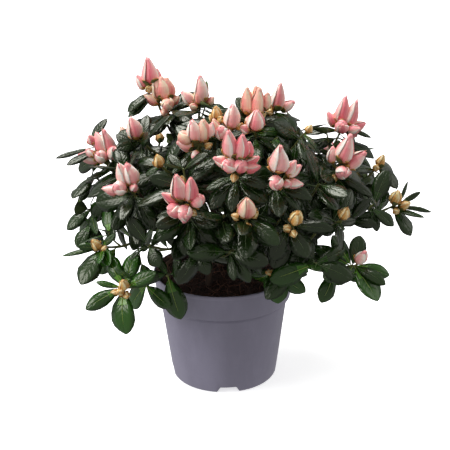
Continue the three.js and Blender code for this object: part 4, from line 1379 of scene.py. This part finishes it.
# Blade and base of the leaves, from the darkest to the freshest
greens = {
    "blades": ["#13220a", "#16290b", "#19310b", "#1d3e0c", "#244c0f"],
    "bases": ["#1b300d", "#203c0f", "#2b5213", "#3e6e1a", "#568a28"],
    "under": "#56663c", "freshHeight": 190.0, "freshDepth": 55.0, "freshest": 3.1, "scatter": 0.9,
    "leafScatter": (-0.8, 0.8), "lowerScatter": (-0.6, 0.9),
}
# Leaves at the outline, leaf by leaf as they stand on the plant, and how many more the head has: depth below
# the tip or, if negative, how far beyond it, angle seen from the front (0 up, 90 right), lean to the viewer,
# and length and breadth against a usual leaf
frontLeaves = {
    ("foot_left", 1): (1, [
        (6, 72, 20, 0.92, 0.7), (4, 165, 5, 1.08, 1.1), (12, -106, 10, 0.7, 1.1),
        (4, -30, -10, 0.42, 1.2)]),
    ("front_low_left", 0): (5, [
        (8, -125, 20, 0.92, 0.9), (5, -113, 5, 0.8, 0.8), (2, -101, -10, 0.66, 0.9),
        (9, 143, 20, 1.04, 0.95), (4, 99, 0, 0.76, 0.85), (10, -170, 25, 0.84, 1.1)]),
    ("front_low_left", 1): (2, [(3, 160, 20, 0.56, 1.2), (4, -150, 10, 0.5, 1.0)]),
    ("front_centre", 2): (5, [
        (7, 130, 20, 0.96, 1.05), (10, 176, 30, 1.06, 1.2), (7, -132, 20, 0.78, 1.0),
        (9, -162, 25, 0.86, 0.85), (3, 116, -5, 0.88, 0.8)]),
    ("front_centre", 4): (2, [(3, 172, 10, 0.62, 0.85), (5, 153, 15, 0.78, 0.9)]),
    ("front_centre", 3): (4, [
        (6, -151, 20, 0.84, 1.15), (6, 152, 20, 0.82, 1.2), (3, 96, 0, 0.9, 0.75),
        (4, -100, 10, 0.7, 0.9)]),
    ("foot_right", 2): (1, [
        (2, 178, 15, 0.76, 1.5), (2, 130, 10, 0.84, 1.0), (3, -155, 5, 0.58, 1.3), (1, 82, 0, 0.74, 1.0),
        (3, -100, 5, 0.58, 0.6), (2, 102, -10, 0.74, 0.7)]),
    ("front_centre", 1): (5, [
        (7, 178, 40, 0.84, 1.15), (6, 132, 20, 0.76, 0.75), (4, 113, 5, 0.8, 1.0),
        (6, -120, 15, 0.8, 0.9)]),
    ("front_centre", 0): (4, [
        (4, -115, 10, 0.72, 0.8), (7, -133, 20, 0.88, 0.95), (7, 180, 30, 0.84, 0.8),
        (7, 136, 20, 0.86, 1.1), (4, 106, 5, 0.72, 0.9)]),
    ("front_top", 0): (4, [
        (9, -131, 15, 0.84, 0.7), (12, -173, 25, 0.7, 0.9), (7, -114, 5, 0.66, 0.85),
        (8, 117, 10, 0.6, 1.0)]),
    ("shoulder_right", 0): (4, [
        (8, 143, 20, 0.98, 0.85), (6, 124, 10, 1.0, 0.65), (7, -126, 35, 0.84, 1.2),
        (4, -98, 0, 0.8, 0.9)]),
    ("foot_left", 0): (0, [
        (3, -178, 12, 1.06, 1.25), (2, -117, 15, 0.98, 0.85), (2, -78, 10, 0.62, 0.6),
        (4, -31, -10, 0.86, 1.05), (5, 14, 0, 0.82, 1.05), (4, 66, 10, 0.82, 1.1),
        (26, 128, 10, 0.8, 1.3)]),
    ("front_left", 2): (0, [
        (5, -100, 5, 1.0, 0.32), (6, -148, 15, 1.02, 1.15), (1, -80, 20, 0.5, 0.8),
        (3, 146, 40, 0.62, 1.3), (2, 58, 30, 0.5, 1.0), (4, 176, 50, 0.6, 1.2)]),
    ("shoulder_left", 2): (2, [(2, -124, 5, 0.68, 0.5), (4, -146, 30, 0.9, 1.1), (9, -132, 15, 0.76, 0.9)]),
    ("shoulder_left", 3): (2, [
        (3, -121, 12, 0.78, 1.15), (5, -164, 10, 1.0, 1.25), (3, 160, 40, 0.8, 1.0)]),
    ("front_low_left", 2): (5, [(1, 152, 15, 0.52, 1.5)]),
    ("crown_right", 0): (7, [(3, -36, -25, 0.62, 0.85), (4, -52, -10, 0.5, 0.8)]),
    ("shoulder_left", 0): (6, [(5, -108, 15, 0.8, 0.9), (7, -138, 25, 0.92, 1.0), (5, 100, 10, 0.8, 1.0)]),
    ("shoulder_left", 1): (1, [
        (4, -111, 5, 0.96, 0.4), (7, -124, 15, 0.82, 0.8), (-4, 48, -10, 0.66, 1.2)]),
    ("crown_left", 0): (4, [
        (6, -152, 35, 0.88, 1.0), (7, -117, 15, 0.8, 0.95), (6, 153, 38, 0.88, 1.0),
        (5, 76, 10, 0.72, 0.9), (7, 113, 20, 0.78, 0.95), (9, 178, 55, 0.8, 0.95),
        (11, -110, 5, 1.02, 0.8)]),
    ("crown_left", 1): (0, [
        (5, -131, 10, 0.8, 0.85), (9, -124, 10, 0.82, 0.85), (4, 44, -20, 0.4, 0.45),
        (3, 70, -30, 0.5, 0.7)]),
    ("crown_left", 2): (7, [(4, 109, 10, 0.66, 0.9), (2, -27, -20, 0.4, 0.5)]),
    ("crown_left", 3): (6, [(8, -62, -10, 0.74, 0.9), (6, -110, 30, 0.7, 1.0), (5, 170, 40, 0.7, 1.0)]),
    ("side_right", 0): (0, [
        (3, 94, 5, 1.0, 0.3), (6, 112, 15, 0.86, 0.6), (4, 141, 10, 0.84, 1.3), (-3, 22, -10, 0.6, 0.6),
        (-3, 62, -5, 0.6, 0.6), (2, -30, -30, 0.4, 0.8), (12, -108, 10, 0.7, 0.6),
        (15, -130, 25, 0.5, 0.8)]),
    ("side_right", 2): (4, [(4, 132, 10, 0.7, 1.1), (4, 160, 10, 0.6, 0.9)]),
    ("side_right", 1): (3, [(3, 130, 15, 0.72, 1.2), (8, -38, -25, 0.95, 1.2)]),
    ("foot_right", 0): (0, [
        (4, -35, -5, 0.8, 1.2), (5, -52, 10, 0.96, 1.0), (4, 14, -10, 0.7, 1.2), (3, 102, 10, 0.86, 0.9),
        (3, 117, 15, 0.86, 0.9), (2, 142, 20, 0.96, 1.25), (3, -135, 35, 0.66, 1.0),
        (22, -160, 15, 0.8, 1.3)]),
    ("shoulder_right", 3): (1, [
        (3, -70, 25, 0.8, 1.0), (3, 40, 15, 0.7, 1.0), (4, -30, 10, 0.8, 1.0), (5, 96, 30, 0.7, 0.9)]),
    ("shoulder_right", 1): (4, [
        (5, -88, 10, 0.84, 0.8), (4, 106, 10, 0.76, 0.62), (12, 124, 10, 1.0, 1.0),
        (12, -112, 15, 0.86, 1.0), (14, 160, 20, 0.7, 0.9)]),
}
leaves = []
buds = []
oldTwigs = []
youngTwigs = []


def turnTo(x, y, z):
    return Matrix((x, y, z)).transposed().to_quaternion()


# Where the photograph shows sky, or the dark inside over the pot, in its pixels: left, top, right and bottom
windows = {
    "crownMiddle": (213, 82, 241, 105), "crownRight": (289, 94, 303, 113),
    "crownRightLow": (303, 94, 325, 124), "crownLeft": (152, 136, 165, 144),
    "crownInner": (202, 110, 207, 114), "shoulderRight": (312, 133, 332, 138),
    "shoulderLeft": (50, 168, 77, 181), "sideLeft": (50, 186, 69, 205),
    "aboveLeft": (106, 116, 121, 130), "footLeft": (119, 254, 129, 262),
    "footLeftInner": (140, 252, 149, 267), "besidePeat": (156, 247, 162, 256),
    "sideRight": (377, 222, 399, 246), "rightMiddle": (357, 212, 367, 220),
    "rightLow": (378, 209, 388, 215), "overFootRight": (345, 229, 371, 239),
    "footRightInner": (319, 238, 334, 246), "underFootRight": (337, 285, 352, 300),
    "potRight": (297, 284, 318, 308), "besidePot": (306, 272, 322, 284),
    "besideBud": (134, 98, 150, 117), "peatLump": (150, 254, 172, 268),
    "shoulderBud": (324, 149, 342, 169), "byTrunk": (204, 266, 228, 297),
    "overPot": (190, 285, 262, 297),
}
# Leaves farther back than this may lie in a window beside a bud
windowDepths = {"besideBud": 10, "shoulderBud": -20}
toCamera = np.array(scene.camera.matrix_basis.inverted())


def seenAt(points):
    local = points * mm @ toCamera[:3, :3].T + toCamera[:3, 3]
    scale = photoCamera["focalPixels"] / -local[:, 2]
    middle = photoCamera["imagePixels"] / 2
    return middle + local[:, 0] * scale, middle - local[:, 1] * scale


def inWindow(points):
    x, y = seenAt(points)
    for name, (left, top, right, bottom) in windows.items():
        inFront = points[:, 1] < windowDepths.get(name, math.inf)
        if ((x > left) & (x < right) & (y > top) & (y < bottom) & inFront).any():
            return True
    return False


# Leaves keep out of the space before a bud: towards the outside and, on the front half, towards the light
openSpace = {"outerRise": 0.45, "frontRise": 0.38, "steps": 3}


def keepOpen(samples, foot):
    away = foot - crown["centre"]
    away.z = 0
    sights = [away.normalized() + up * openSpace["outerRise"]]
    if foot.y < crown["frontHalf"]:
        sights.append(front + up * openSpace["frontRise"])
    for sight in sights:
        step = sight.normalized() * openCell
        for i in range(1, openSpace["steps"] + 1):
            opened.update(cellsOf([tuple(sample + step * i) for sample in samples], openCell))


def addBud(foot, along, kind, spin, paintName, random):
    rule = budKinds[kind]
    length = rule["length"] * mix(random, *bud["lengths"])
    radius = rule["radius"] * mix(random, *bud["radii"])
    base = up.rotation_difference(along)
    buds.append({"place": foot, "turn": base @ Quaternion(up, math.radians(spin)),
                 "span": (radius, radius, length), "kind": kind, "paint": paintName})
    samples = []
    sides = bud["testSides"]
    for t, swell in bud["testRings"]:
        for k in range(sides):
            way = base @ Vector((math.cos(math.tau * k / sides), math.sin(math.tau * k / sides), 0))
            samples.append(foot + along * (length * t) + way * (radius * swell))
    take([tuple(sample) for sample in samples])
    if kind not in ("small", "seed"):
        keepOpen(samples[sides:sides * 4:2], foot)


# The buds of a head, the lower ones on its outer side, where the light comes from
def budsOn(name, number, head, random):
    axis = head["axis"]
    outer = dividedBy(head["tip"] - crown["centre"], crown["radii"])
    outer = (outer - axis * outer.dot(axis)).normalized()
    paints = ("rosy", "pink", "pale", "creamy")
    mirror = 1 if random() < 0.5 else -1
    main = int(mix(random, 0, 4))
    lift = 0
    stand = blooms[head["bloom"]]
    if (name, number) in frontBlooms:
        paintName, lift, stand = frontBlooms[name, number]
        main = paints.index(paintName)
        mirror = 1
        outer = front - axis * front.dot(axis)
        outer.normalize()
    for kind, turn, leanBy, off, sink in stand:
        side = Quaternion(axis, math.radians(mirror * turn + mix(random, *bud["turns"]))) @ outer
        angle = math.radians(leanBy + mix(random, *bud["leans"]))
        along = axis * math.cos(angle) + side * math.sin(angle)
        foot = head["tip"] + side * off + axis * (lift - sink)
        paintName = paints[min(3, max(0, main + int(mix(random, *bud["paints"]))))]
        if kind in bud["straws"]:
            paintName = "straw"
        addBud(foot, along, kind, mix(random, 0, 360), paintName, random)
        heart = head["tip"] - axis * budStalk["depth"]
        bend = foot.lerp(heart, budStalk["bendAt"])
        line = spaced([heart, bend, foot + along * budStalk["reach"]], budStalk["steps"])
        youngTwigs.append((line, [budStalk["radius"]] * len(line)))


def nearestGreen(value):
    return min(len(greens["blades"]) - 1, max(0, round(value)))


def greenFor(place, random):
    fresh = min(1.0, max(0.0, (greens["freshHeight"] - place.z) / greens["freshDepth"]))
    return nearestGreen(fresh * greens["freshest"] + mix(random, -1, 1) * greens["scatter"])


# One leaf, unless it would cross what is there
def putLeaf(root, along, upper, size, shape, green, isRule=True):
    length, breadth = size
    upper = (upper - along * upper.dot(along)).normalized()
    across = along.cross(upper)
    rows = np.array([tuple(across * breadth), tuple(along), tuple(upper)])
    samples = leafSamples[shape] @ rows * length + np.array(tuple(root))
    if not isRule:
        samples = samples[looseSamples:]
    if not (clearOfPot(samples) and isFree(samples, isRule)) or isRule and inWindow(samples):
        return False
    take(samples)
    leaves.append({"place": root, "turn": turnTo(across, along, upper),
                   "span": (length * breadth, length, length), "shape": shape, "green": green})
    return True


# One leaf on a shoot. Where it would cross what is there, it is turned a little and tried again.
def addLeaf(root, axis, turn, tilt, length, green, random):
    across = (rightward - axis * axis.x).normalized()
    shape = int(mix(random, 0, leaf["shapes"]))
    roll = math.radians(mix(random, -1, 1) * whorl["roll"])
    breadth = mix(random, *whorl["breadth"]) + whorl["freshBreadth"] * green
    for higher, aside in whorl["nudges"]:
        angle = math.radians(tilt + higher)
        side = Quaternion(axis, math.radians(turn + aside)) @ across
        along = axis * math.cos(angle) + side * math.sin(angle)
        along = (along - up * whorl["sag"] * math.sin(angle)).normalized()
        upper = axis.lerp(up, whorl["faceUp"])
        if root.y < crown["frontHalf"]:
            upper = upper + front * whorl["faceFront"]
        upper = upper - along * upper.dot(along)
        if upper.length < 0.15:
            upper = side - along * side.dot(along)
        upper = Quaternion(along, roll) @ upper.normalized()
        if putLeaf(root, along, upper, (length, breadth), shape, green):
            return True
    return False


# The leaves that a head at the outline shows, one by one
def addFrontLeaves(line, stand, green, random):
    tilt = math.radians(photoCamera["elevation"])
    pictureUp = Vector((0, math.sin(tilt), math.cos(tilt)))
    toViewer = Vector((0, -math.cos(tilt), math.sin(tilt)))
    for depth, turn, leanBy, size, breadth in stand:
        root, axis = pointBack(line, depth)
        shape = int(mix(random, 0, leaf["shapes"]))
        own = nearestGreen(green + round(mix(random, *greens["leafScatter"])))
        for aside, nearer in whorl["frontNudges"]:
            angle = math.radians(turn + aside)
            near = math.radians(leanBy + nearer)
            flat = rightward * math.sin(angle) + pictureUp * math.cos(angle)
            along = flat * math.cos(near) + toViewer * math.sin(near)
            upper = axis + toViewer * whorl["frontFace"]
            if putLeaf(root, along, upper, (leaf["length"] * size, breadth), shape, own, False):
                break


def pointBack(line, depth):
    for i in range(len(line) - 1, 0, -1):
        step = (line[i] - line[i - 1]).length
        if depth <= step:
            return line[i].lerp(line[i - 1], depth / step), (line[i] - line[i - 1]).normalized()
        depth -= step
    return line[0].copy(), (line[1] - line[0]).normalized()


def whorlOn(line, rule, lengths, green, random):
    turn = mix(random, 0, 360)
    for i in range(rule["leaves"]):
        share = (i + 0.5) / rule["leaves"]
        root, axis = pointBack(line, rule["depth"] + i * whorl["pitch"])
        tilt = rule["steepest"] + (rule["level"] - rule["steepest"]) * share
        tilt += mix(random, *whorl["tilts"])
        grown = whorl["topLength"] + whorl["lengthGain"] * min(1.0, share * whorl["gainPace"])
        size = leaf["length"] * mix(random, *lengths) * grown
        own = nearestGreen(green + round(mix(random, *greens["leafScatter"])))
        addLeaf(root, axis, turn + i * whorl["turn"], tilt, size, own, random)
    return turn + rule["leaves"] * whorl["turn"]


for plan in plans:
    random = dice(100 + plan["number"])
    for number, head in enumerate(plan["heads"]):
        budsOn(plan["name"], number, head, random)
for plan in plans:
    for line in plan["twigs"]:
        take([tuple(point) for point in line])
print("growth:", len(buds), "buds")

for plan in plans:
    random = dice(200 + plan["number"])
    for number, (head, line) in enumerate(zip(plan["heads"], plan["twigs"])):
        head["green"] = greenFor(head["tip"], random)
        if (plan["name"], number) in frontLeaves:
            head["more"], stand = frontLeaves[plan["name"], number]
            addFrontLeaves(line, stand, head["green"], random)
print("growth:", len(leaves), "leaves at the outline")

for plan in plans:
    for head, line in zip(plan["heads"], plan["twigs"]):
        random = dice(1000 + plan["number"] * 10 + len(leaves))
        green = head["green"]
        budded = head["bloom"] != "none"
        if budded and "more" not in head:
            for i in range(whorl["small"]):
                root, axis = pointBack(line, whorl["smallDepth"])
                addLeaf(root, axis, mix(random, 0, 360), mix(random, *whorl["smallTilt"]),
                        leaf["length"] * mix(random, *whorl["smallLength"]), nearestGreen(green + 2), random)
        rule = dict(whorl["budded" if budded else "bare"])
        if plan["name"] in whorl["openMasses"]:
            rule["leaves"] = round(rule["leaves"] * whorl["openShare"])
        rule["leaves"] = head.get("more", rule["leaves"])
        head["next"] = whorlOn(line, rule, whorl["length"], green, random)
print("growth:", len(leaves), "leaves in the top whorls")

for plan in plans:
    for head, line in zip(plan["heads"], plan["twigs"]):
        random = dice(3000 + plan["number"] * 10 + len(leaves))
        depth = whorl["lowerStart"]
        turn = head["next"]
        while depth < lengthOf(line) - whorl["lowerStop"]:
            root, axis = pointBack(line, depth)
            addLeaf(root, axis, turn, mix(random, *whorl["lowerTilt"]),
                    leaf["length"] * mix(random, *whorl["lowerLength"]),
                    nearestGreen(head["green"] + round(mix(random, *greens["lowerScatter"]))), random)
            turn += whorl["turn"]
            isOpen = plan["name"] in whorl["openMasses"] or head.get("more") == 0
            pitch = whorl["openPitch" if isOpen else "lowerPitch"]
            depth += pitch * mix(random, *whorl["pitches"])
print("growth:", len(leaves), "leaves with those below them")

for plan in plans:
    for head, line in zip(plan["heads"], plan["twigs"]):
        random = dice(5000 + plan["number"] * 10 + len(leaves))
        length = lengthOf(line)
        span = sideTwig["last"] - sideTwig["first"]
        count = int(length * span / sideTwig["every"] + sideTwig["rounding"])
        if plan["name"] in whorl["openMasses"]:
            count = 0
        turn = mix(random, 0, 360)
        for i in range(count):
            share = sideTwig["first"] + span * (i + 0.5) / count
            root, axis = pointBack(line, length * (1 - share))
            across = (rightward - axis * axis.x).normalized()
            side = Quaternion(axis, math.radians(turn + i * whorl["turn"])) @ across
            angle = math.radians(mix(random, *sideTwig["angle"]))
            way = axis * math.cos(angle) + side * math.sin(angle)
            reach = mix(random, *sideTwig["length"])
            middle = root + way * (reach * 0.5)
            tip = middle + (way + up * sideTwig["rise"]).normalized() * (reach * 0.5)
            steps = sideTwig["steps"]
            side = spline([root, middle, tip], steps)
            spots = np.array([tuple(point) for point in side[steps // 2:]])
            if not (clearOfPot(spots) and isFree(spots)):
                continue
            take(spots)
            thick, thin = sideTwig["radius"]
            youngTwigs.append((side, [thick + (thin - thick) * k / steps for k in range(steps + 1)]))
            whorlOn(side, whorl["side"], whorl["sideLength"], head["green"], random)
print("growth:", len(leaves), "leaves in all")


# Twigs: the stem of each mass and the older part of its shoots in bark, the young ends in green
twig = {"sides": 7, "stemSteps": 8, "youngShare": 0.45, "knot": 0.14, "inset": 0.97,
        "old": "#4a3526", "young": "#5f6230"}


def makeTwigs():
    oldMaterial = newMaterial("twig_bark", twig["old"], Roughness=0.75, Specular_IOR_Level=0.4)
    grained(oldMaterial, scale=900.0, depth=0.12, smoothest=0.6, roughest=0.85)
    youngMaterial = newMaterial("twig_green", twig["young"], Roughness=0.5)
    grained(youngMaterial, scale=700.0, depth=0.05, smoothest=0.4, roughest=0.6)
    for plan in plans:
        random = dice(800 + plan["number"])
        root = plan["line"][-1] - plan["along"] * shoot["overlap"]
        steps = twig["stemSteps"]
        thick = bough["tipRadius"] * twig["inset"]
        radii = [thick + (shoot["forkRadius"] - bough["tipRadius"]) * i / steps for i in range(steps + 1)]
        oldTwigs.append((spaced([root, plan["line"][-1], plan["fork"]], steps), radii))
        for line in plan["twigs"]:
            steps = len(line) - 1
            radii = [(shoot["forkRadius"] + (shoot["tipRadius"] - shoot["forkRadius"]) * i / steps)
                     * (1 + twig["knot"] * mix(random, -1, 1)) for i in range(steps + 1)]
            split = round(steps * (1 - twig["youngShare"]))
            oldTwigs.append((line[:split + 1], radii[:split + 1]))
            youngTwigs.append((line[split:], [radius * twig["inset"] for radius in radii[split:]]))
    finishPiece(limbPiece("twigs_old", oldTwigs, twig["sides"], oldMaterial), "bark", *foliageNodes)
    finishPiece(limbPiece("twigs_young", youngTwigs, twig["sides"], youngMaterial), "foliage", *foliageNodes)


makeTwigs()


def leafTint(t, u):
    return 2 if t < 0.2 or (t < 0.4 and abs(u) < 0.5) else 0


def makeLeaves():
    heights = leafHeights()
    meshes = []
    for seed, place in enumerate(leafPlaces):
        points, faces, maps, tints = blade(heights, leaf["sides"], place, leaf["thickness"], leafTint)
        meshes.append(meshOf(f"leaf_{seed}", points, faces, uv=maps, tints=tints))
    shapes = shapeSet("leaf_shapes", meshes)

    def leafMaterial(name, colour, shine, values):
        material = newMaterial(name, colour, Specular_IOR_Level=shine, Specular_Tint=(1.0, 0.99, 0.86, 1.0))
        return useGroup(material, veins, values, {"Normal": "Normal", "Roughness": "Roughness"})

    under = leafMaterial("leaf_underside", greens["under"], 0.35,
                         {"Vein Depth": 0.0002, "Quilt Depth": 0.0001, "Smoothest": 0.5, "Roughest": 0.7})
    for number, (colour, baseColour) in enumerate(zip(greens["blades"], greens["bases"])):
        upper = leafMaterial(f"leaf_blade_{number}", colour, 0.5, {})
        base = leafMaterial(f"leaf_base_{number}", baseColour, 0.5, {})
        own = [copy for copy in leaves if copy["green"] == number]
        if own:
            piece = spreadPiece(f"leaves_{number}", own, shapes, [upper, under, base])
            finishPiece(piece, "foliage", *foliageNodes)
    putAway(shapes)


makeLeaves()


# Stalks of the leaves, which run on as the pale foot of the midrib: places along the leaf and widths there
rib = {
    "spots": (-0.02, 0.05, 0.14, 0.3, 0.47, 0.64, 0.78), "widths": (1.5, 1.6, 1.15, 0.8, 0.6, 0.42, 0.15),
    "width": 0.011, "proud": 0.002, "sides": 4,
    "paints": {"dark": ("#46572f", (0, 1, 2)), "fresh": ("#7f9440", (3, 4))},
}


def makeRibs():
    meshes = []
    for seed, place in enumerate(leafPlaces):
        line = []
        for t in rib["spots"]:
            point, over = place(t, 0)
            line.append(point + over * rib["proud"] + Vector((0, min(t, 0.0), 0)))
        points, faces = tube(line, [rib["width"] * width for width in rib["widths"]], rib["sides"])
        meshes.append(meshOf(f"rib_{seed}", points, faces))
        meshes[-1].attributes.new("tint", "INT", "FACE")
    shapes = shapeSet("rib_shapes", meshes)
    for name, (colour, chosen) in rib["paints"].items():
        material = newMaterial(f"rib_{name}", colour, Roughness=0.45)
        grained(material, scale=900.0, depth=0.02, smoothest=0.38, roughest=0.55)
        own = [copy for copy in leaves if copy["green"] in chosen]
        finishPiece(spreadPiece(f"ribs_{name}", own, shapes, [material]), "foliage", *foliageNodes)
    putAway(shapes)


makeRibs()


def petalShape(kind, paintName, seed):
    place = petalPlace(kind, seed, budKinds[kind]["petals"])
    inside = petalColours.index(petalPaints[paintName]["shades"][3])
    return blade(bud["heights"], bud["sides"], place, bud["thickness"], petalTint(paintName, seed), inside)


def scaleShape(kind, seed):
    reach = budScale["longReach" if kind in budScale["longOn"] else "reach"] + budScale["longer"] * seed
    place = petalPlace(kind, 30 + seed, budScale["count"], reach, lift=1.08, flare=0.1, shoulder=0.3)
    return blade(budScale["heights"], budScale["sides"], place, bud["thickness"], scaleTint(seed),
                 scaleOrder.index("tan"))


# The closed heart that shows between the tips of the petals
def coreShape(kind, paintName):
    heights = (0.1, 0.3, 0.5, 0.65, 0.76, 0.84, 0.9)
    place = petalPlace(kind, 0, 3)
    radii = []
    for t in heights:
        point, _ = place(t, -0.5)
        radii.append(max(math.hypot(point.x, point.y) * bud["core"], bud["slimmest"]))
    points, faces = tube([up * t for t in heights], radii, 8)
    maps = [(0.5, point.z) for point in points]
    shade = petalColours.index(petalPaints[paintName]["shades"][2])
    return points, faces, maps, [shade] * len(faces)


def makeBuds():
    petalMaterials = []
    for number, colour in enumerate(petalColours):
        material = newMaterial(f"petal_{number:02d}", colour, Subsurface_Weight=0.1, Subsurface_Scale=0.002)
        petalMaterials.append(
            grained(material, scale=600.0, depth=0.06, smoothest=0.42, roughest=0.58, stretch=(1, 1, 0.25)))
    scaleMaterials = []
    for name, colour in scaleTints.items():
        material = newMaterial(f"scale_{name}", colour)
        scaleMaterials.append(grained(material, scale=900.0, depth=0.05, smoothest=0.5, roughest=0.7))

    def spread(name, wanted, materials):
        meshes = []
        copies = []
        numbers = {}
        for copy, key, make in wanted:
            if key not in numbers:
                numbers[key] = len(meshes)
                points, faces, maps, tints = make(*key)
                meshes.append(meshOf(f"{name}_{len(meshes)}", points, faces, uv=maps, tints=tints))
            copies.append({**copy, "shape": numbers[key]})
        shapes = shapeSet(name + "_shapes", meshes)
        finishPiece(spreadPiece(name, copies, shapes, materials), "foliage", *foliageNodes)
        putAway(shapes)

    petals = []
    scales = []
    for count, one in enumerate(buds):
        random = dice(6000 + count)
        number = budKinds[one["kind"]]["petals"]
        petals.append((one, (one["kind"], one["paint"]), coreShape))
        for k in range(number):
            turn = one["turn"] @ Quaternion(up, math.tau / number * k)
            wide, deep, long = one["span"]
            span = (wide, deep, long * mix(random, *bud["petalLengths"]))
            key = (one["kind"], one["paint"], (count + k) % bud["forms"])
            petals.append(({**one, "turn": turn, "span": span}, key, petalShape))
        for k in range(budScale["count"]):
            turn = one["turn"] @ Quaternion(up, math.tau / budScale["count"] * (k + 0.25))
            scales.append(({**one, "turn": turn}, (one["kind"], (count + k) % budScale["forms"]), scaleShape))
    spread("petals", petals, petalMaterials)
    spread("bud_scales", scales, scaleMaterials)


makeBuds()

# Pale floor and soft studio light: wide far lamps, so that the floor is lit evenly
studio = {
    "floorRadius": 14.0, "floorSides": 96, "floorColour": "#f6f6f6", "floorGlow": 0.6,
    "worldColour": "#ffffff", "worldStrength": 0.46,
    "lamps": {
        "top": {"from": (-0.35, 0.35, 1.0), "width": 40.0, "strength": 3.5},
        "left": {"from": (-1.0, -0.25, 0.55), "width": 35.0, "strength": 1.7},
        "right": {"from": (1.0, 0.1, 0.5), "width": 50.0, "strength": 0.5},
    },
}


def makeStudio():
    world = bpy.data.worlds.new("studio")
    world.use_nodes = True
    background = world.node_tree.nodes["Background"]
    background.inputs["Color"].default_value = paint(studio["worldColour"])
    background.inputs["Strength"].default_value = studio["worldStrength"]
    scene.world = world
    for name, lamp in studio["lamps"].items():
        light = bpy.data.lights.new(name, "SUN")
        light.angle = math.radians(lamp["width"])
        light.energy = lamp["strength"]
        holder = bpy.data.objects.new(name + "_lamp", light)
        holder.rotation_mode = "QUATERNION"
        holder.rotation_quaternion = Vector(lamp["from"]).to_track_quat("Z", "Y")
        scene.collection.objects.link(holder)
    sides = studio["floorSides"]
    rim = [Vector((math.cos(math.tau * k / sides), math.sin(math.tau * k / sides), 0)) * studio["floorRadius"]
           for k in range(sides)]
    mesh = bpy.data.meshes.new("floor")
    mesh.from_pydata([tuple(p) for p in rim], [], [tuple(range(sides))])
    floorMaterial = newMaterial("floor", studio["floorColour"], Roughness=0.8,
                                Emission_Color=(1, 1, 1, 1), Emission_Strength=studio["floorGlow"])
    grained(floorMaterial, scale=120.0, depth=0.02, smoothest=0.75, roughest=0.85)
    mesh.materials.append(floorMaterial)
    floor = bpy.data.objects.new("floor", mesh)
    floor.visible_diffuse = False
    floor.visible_glossy = False
    scene.collection.objects.link(floor)
    scene.view_settings.view_transform = "Standard"


makeStudio()
print("studio: floor, lamps and world set")
